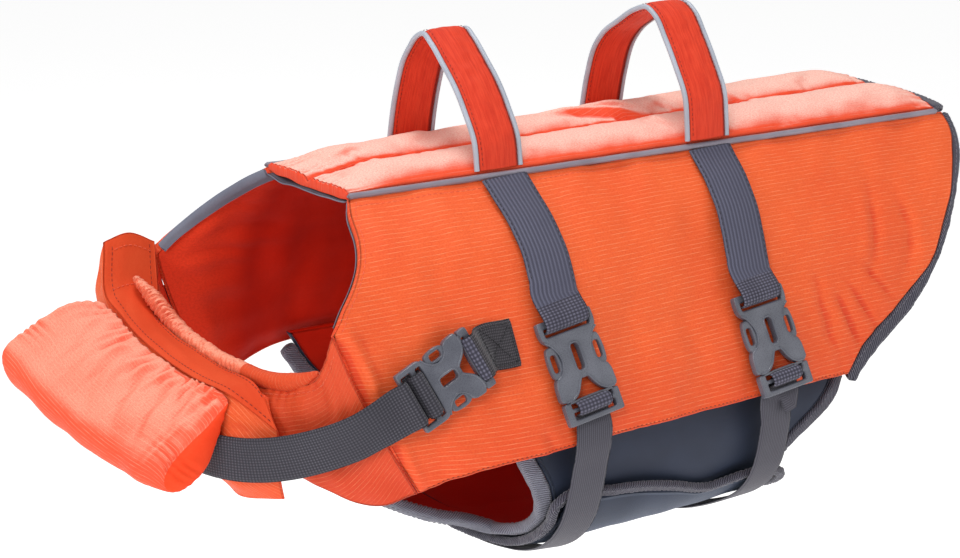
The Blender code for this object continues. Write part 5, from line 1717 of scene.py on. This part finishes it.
def make_side_straps():
    for tag, x in zip(("front", "rear"), CROSS_X):
        frame = buckle_frame(tag)
        make_socket(f"buckle_{tag}", frame, 0.0)
        make_plug(f"buckle_{tag}", frame, 60.0, ((49.0, 3.4), (55.0, 4.2)))
        loop = loop_of(frame, TOP_LOOP)
        share = np.linspace(0, 1, 14)
        path, facing = side_strap_path(x, 1.5 + (-loop[0][0, 2] - 1.5) * share, 1.6, LEFT)
        path, facing = turned(path, LEFT), turned(facing, LEFT)
        path += (loop[0][0] - path[-1]) * share[:, None]
        path[:, 0] += STRAP_BOW * np.sin(pi * share)
        run = chained((path[:-1], facing[:-1]), loop)
        turn, cloths = [(run_of(run[0])[-1] - 19, 1)], [WEB, WEB_CHECK]
        node = f"side_strap_{tag}"
        line, up = ribbon(f"strap_{tag}_left", f"{node}_left", run, WIDE_WEB, cloths, turn, WIDE_RIBS)
        run = side_strap_path(x, np.linspace(1.5, 124, 14), 1.6)
        ribbon(f"strap_{tag}_right", f"{node}_right", run, WIDE_WEB, cloths[:1], ribs=WIDE_RIBS)
        sewn = slice(0, int(len(line) * 0.72))
        sew_strap_edges(line[sewn], up[sewn], WIDE_WEB)
        make_belly_strap(tag, x, frame)


def sew_strap_edges(path, facing, width):
    """A line of stitches just inside each edge of a strap that is sewn down."""
    across, out = frames_along(path, facing)
    for way in (-1, 1):
        line = path + across * way * (width / 2 - 1.6) + out * WEB_THICK / 2
        DARK_THREAD.row(line, out, radius=0.2, lift=0.0, length=2.2, gap=1.2)


def sew_box(path, facing, width):
    """A box of stitches with a cross in it, over the whole of a short run of strap."""
    across, out = frames_along(path, facing)
    half = width / 2 - 2.2
    face = path + out * (WEB_THICK / 2 + 0.1)
    share = np.linspace(-1, 1, len(path))[:, None]
    lines = [(face + across * half * way, out) for way in (1, -1, share, -share)]
    steps = np.linspace(-half, half, 12)[:, None]
    lines += [(face[end] + across[end] * steps, np.tile(out[end], (12, 1))) for end in (0, -1)]
    for line, up in lines:
        DARK_THREAD.row(line, up, radius=0.34, lift=0.1, length=1.9, gap=0.6)


def make_belly_strap(tag, x, frame):
    shifts = BELLY_STRAP_SHIFTS[tag]
    shares = np.linspace(-0.83, 0.88, 24)
    lifts = np.interp(shares, (-0.83, -0.60, -0.4), (9.8, 9.1, 8.4))
    under, under_facing = belly_frame(x + np.interp(shares, (-0.8, -0.5, 0.0, 0.88), (*shifts, 0)), shares)
    over = [turned(part, LEFT) for part in side_strap_path(x + shifts[0], np.array([131.0]), 2.2)]
    end = side_strap_path(x, np.array([126.0, 117.0, 108.0, 98.0]), 4.0)
    run = even(*chained(over, (under + under_facing * lifts[:, None], under_facing), end), 16.0)
    run = chained(loop_of(frame, BOTTOM_LOOP), run)
    cloths, slots = [WEB_FINE, WEB_CHECK], ((0, 1), (13.0, 0))
    path, up = ribbon(f"strap_belly_{tag}", f"belly_strap_{tag}", run, NARROW_WEB, cloths, slots)
    sew_box(path[-18:-2], up[-18:-2], NARROW_WEB)


def make_chest_straps():
    frame = buckle_frame("chest")
    make_socket("chest_buckle", frame, LADDER)
    make_plug("chest_buckle", frame, 55.5, ((49.0, 3.4),))
    path = curve(CHEST_STRAP, 27)
    facing = unit((path - [-225.0, 0.0, -112.0]) * [1, 1, 0.6])
    run = chained(loop_of(frame, LADDER_LOOP, True), (path, facing))
    line, up = ribbon("strap_chest", "chest_strap", run, CHEST_WEB, [WEB_CHEST])
    sew_box(line[-18:-2], up[-18:-2], CHEST_WEB)
    points, normals = flank_frame(*np.array(CHEST_PATCH).T)
    run = chained(loop_of(frame, END_LOOP), (turned(points + normals * 1.6, LEFT), turned(normals, LEFT)))
    line, up = ribbon("strap_patch", "chest_patch", run, CHEST_WEB, [PATCH, WEB_CHECK], ((0, 1), (9.0, 0)))
    sew_box(line[-14:-1], up[-14:-1], CHEST_WEB)


# ---------------------------------------------------------------- camera, light and floor

CAMERA_AZIMUTH, CAMERA_ELEVATION, CAMERA_DISTANCE = 34.1, 15.75, 1500.0
CAMERA_TARGET = (-96.0, 0.0, -73.0)
FOCAL_PIXELS, FRAME_WIDTH, SENSOR = 2607.0, 960.0, 36.0
LIGHTS = (
    # name, place and size in metres, power
    ("key", (-1.5, -1.3, 1.3), 0.8, 17),
    ("overhead", (-0.2, 0.3, 1.9), 0.8, 22),
    ("fill", (1.4, -1.7, 0.3), 1.4, 5),
    ("neck", (-1.8, -0.6, 0.3), 0.5, 5),
)
LIGHTS_AIM = (-0.04, 0, -0.08)
FLOOR_REACH, FLOOR_DROP, FLOOR_GLOW = 14.0, 0.4, 0.55
FLOOR_TONES = ((243.445,) * 3, (246.987,) * 3)  # they reflect 0.9 and 0.93 of the light
WORLD_GLOW = 0.42


def make_camera():
    a, e = radians(CAMERA_AZIMUTH), radians(CAMERA_ELEVATION)
    forward = Vector((sin(a) * cos(e), cos(a) * cos(e), -sin(e)))
    data = bpy.data.cameras.new("view")
    data.sensor_width = SENSOR
    data.lens = FOCAL_PIXELS / FRAME_WIDTH * SENSOR
    camera = bpy.data.objects.new("view", data)
    camera.location = (Vector(CAMERA_TARGET) - forward * CAMERA_DISTANCE) * MM
    camera.rotation_euler = forward.to_track_quat("-Z", "Y").to_euler()
    bpy.context.scene.collection.objects.link(camera)
    bpy.context.scene.camera = camera


def add_light(name, place, size, power):
    data = bpy.data.lights.new(name, "AREA")
    data.shape = "DISK"
    data.size = size
    data.energy = power
    lamp = bpy.data.objects.new(name, data)
    lamp.location = place
    lamp.rotation_euler = (Vector(LIGHTS_AIM) - Vector(place)).to_track_quat("-Z", "Y").to_euler()
    bpy.context.scene.collection.objects.link(lamp)


def make_floor():
    mesh = bpy.data.meshes.new("floor")
    corners = [(x * FLOOR_REACH, y * FLOOR_REACH, 0) for x, y in ((-1, -1), (1, -1), (1, 1), (-1, 1))]
    mesh.from_pydata(corners, [], [(0, 1, 2, 3)])
    floor = bpy.data.objects.new("floor", mesh)
    floor.location.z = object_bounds()[0][2] - FLOOR_DROP
    g = Graph("floor_white", 0.9, specular=0.1)
    g.give(g.shader, {"Base Color": g.mix(g.noise(g.place(), 900.0), *FLOOR_TONES)})
    g.give(g.shader, {"Emission Color": (255, 255, 255), "Emission Strength": FLOOR_GLOW})
    mesh.materials.append(g.material)
    bpy.context.scene.collection.objects.link(floor)


def make_studio():
    world = bpy.data.worlds.new("studio")
    world.use_nodes = True
    background = world.node_tree.nodes["Background"].inputs
    background[0].default_value = (1, 1, 1, 1)
    background[1].default_value = WORLD_GLOW
    bpy.context.scene.world = world
    for light in LIGHTS:
        add_light(*light)
    bpy.context.scene.view_settings.view_transform = "Standard"
    bpy.context.scene.view_settings.look = "None"


make_camera()
make_sides()
make_back()
make_pipings()
make_neck_tapes()
make_top_tape()
make_tail_bindings()
make_yoke()
make_roll()
make_flap()
make_float()
make_belly()
make_belly_flap()
make_flap_binding()
make_belly_bindings()
for handle, place, shape in zip(("handle_front", "handle_rear"), CROSS_X, HANDLE_LINES):
    make_handle(handle, place, shape)
make_side_straps()
make_chest_straps()
for sewing in (ORANGE_THREAD, RED_THREAD, DARK_THREAD, GREY_THREAD):
    sewing.made()
make_floor()
make_studio()
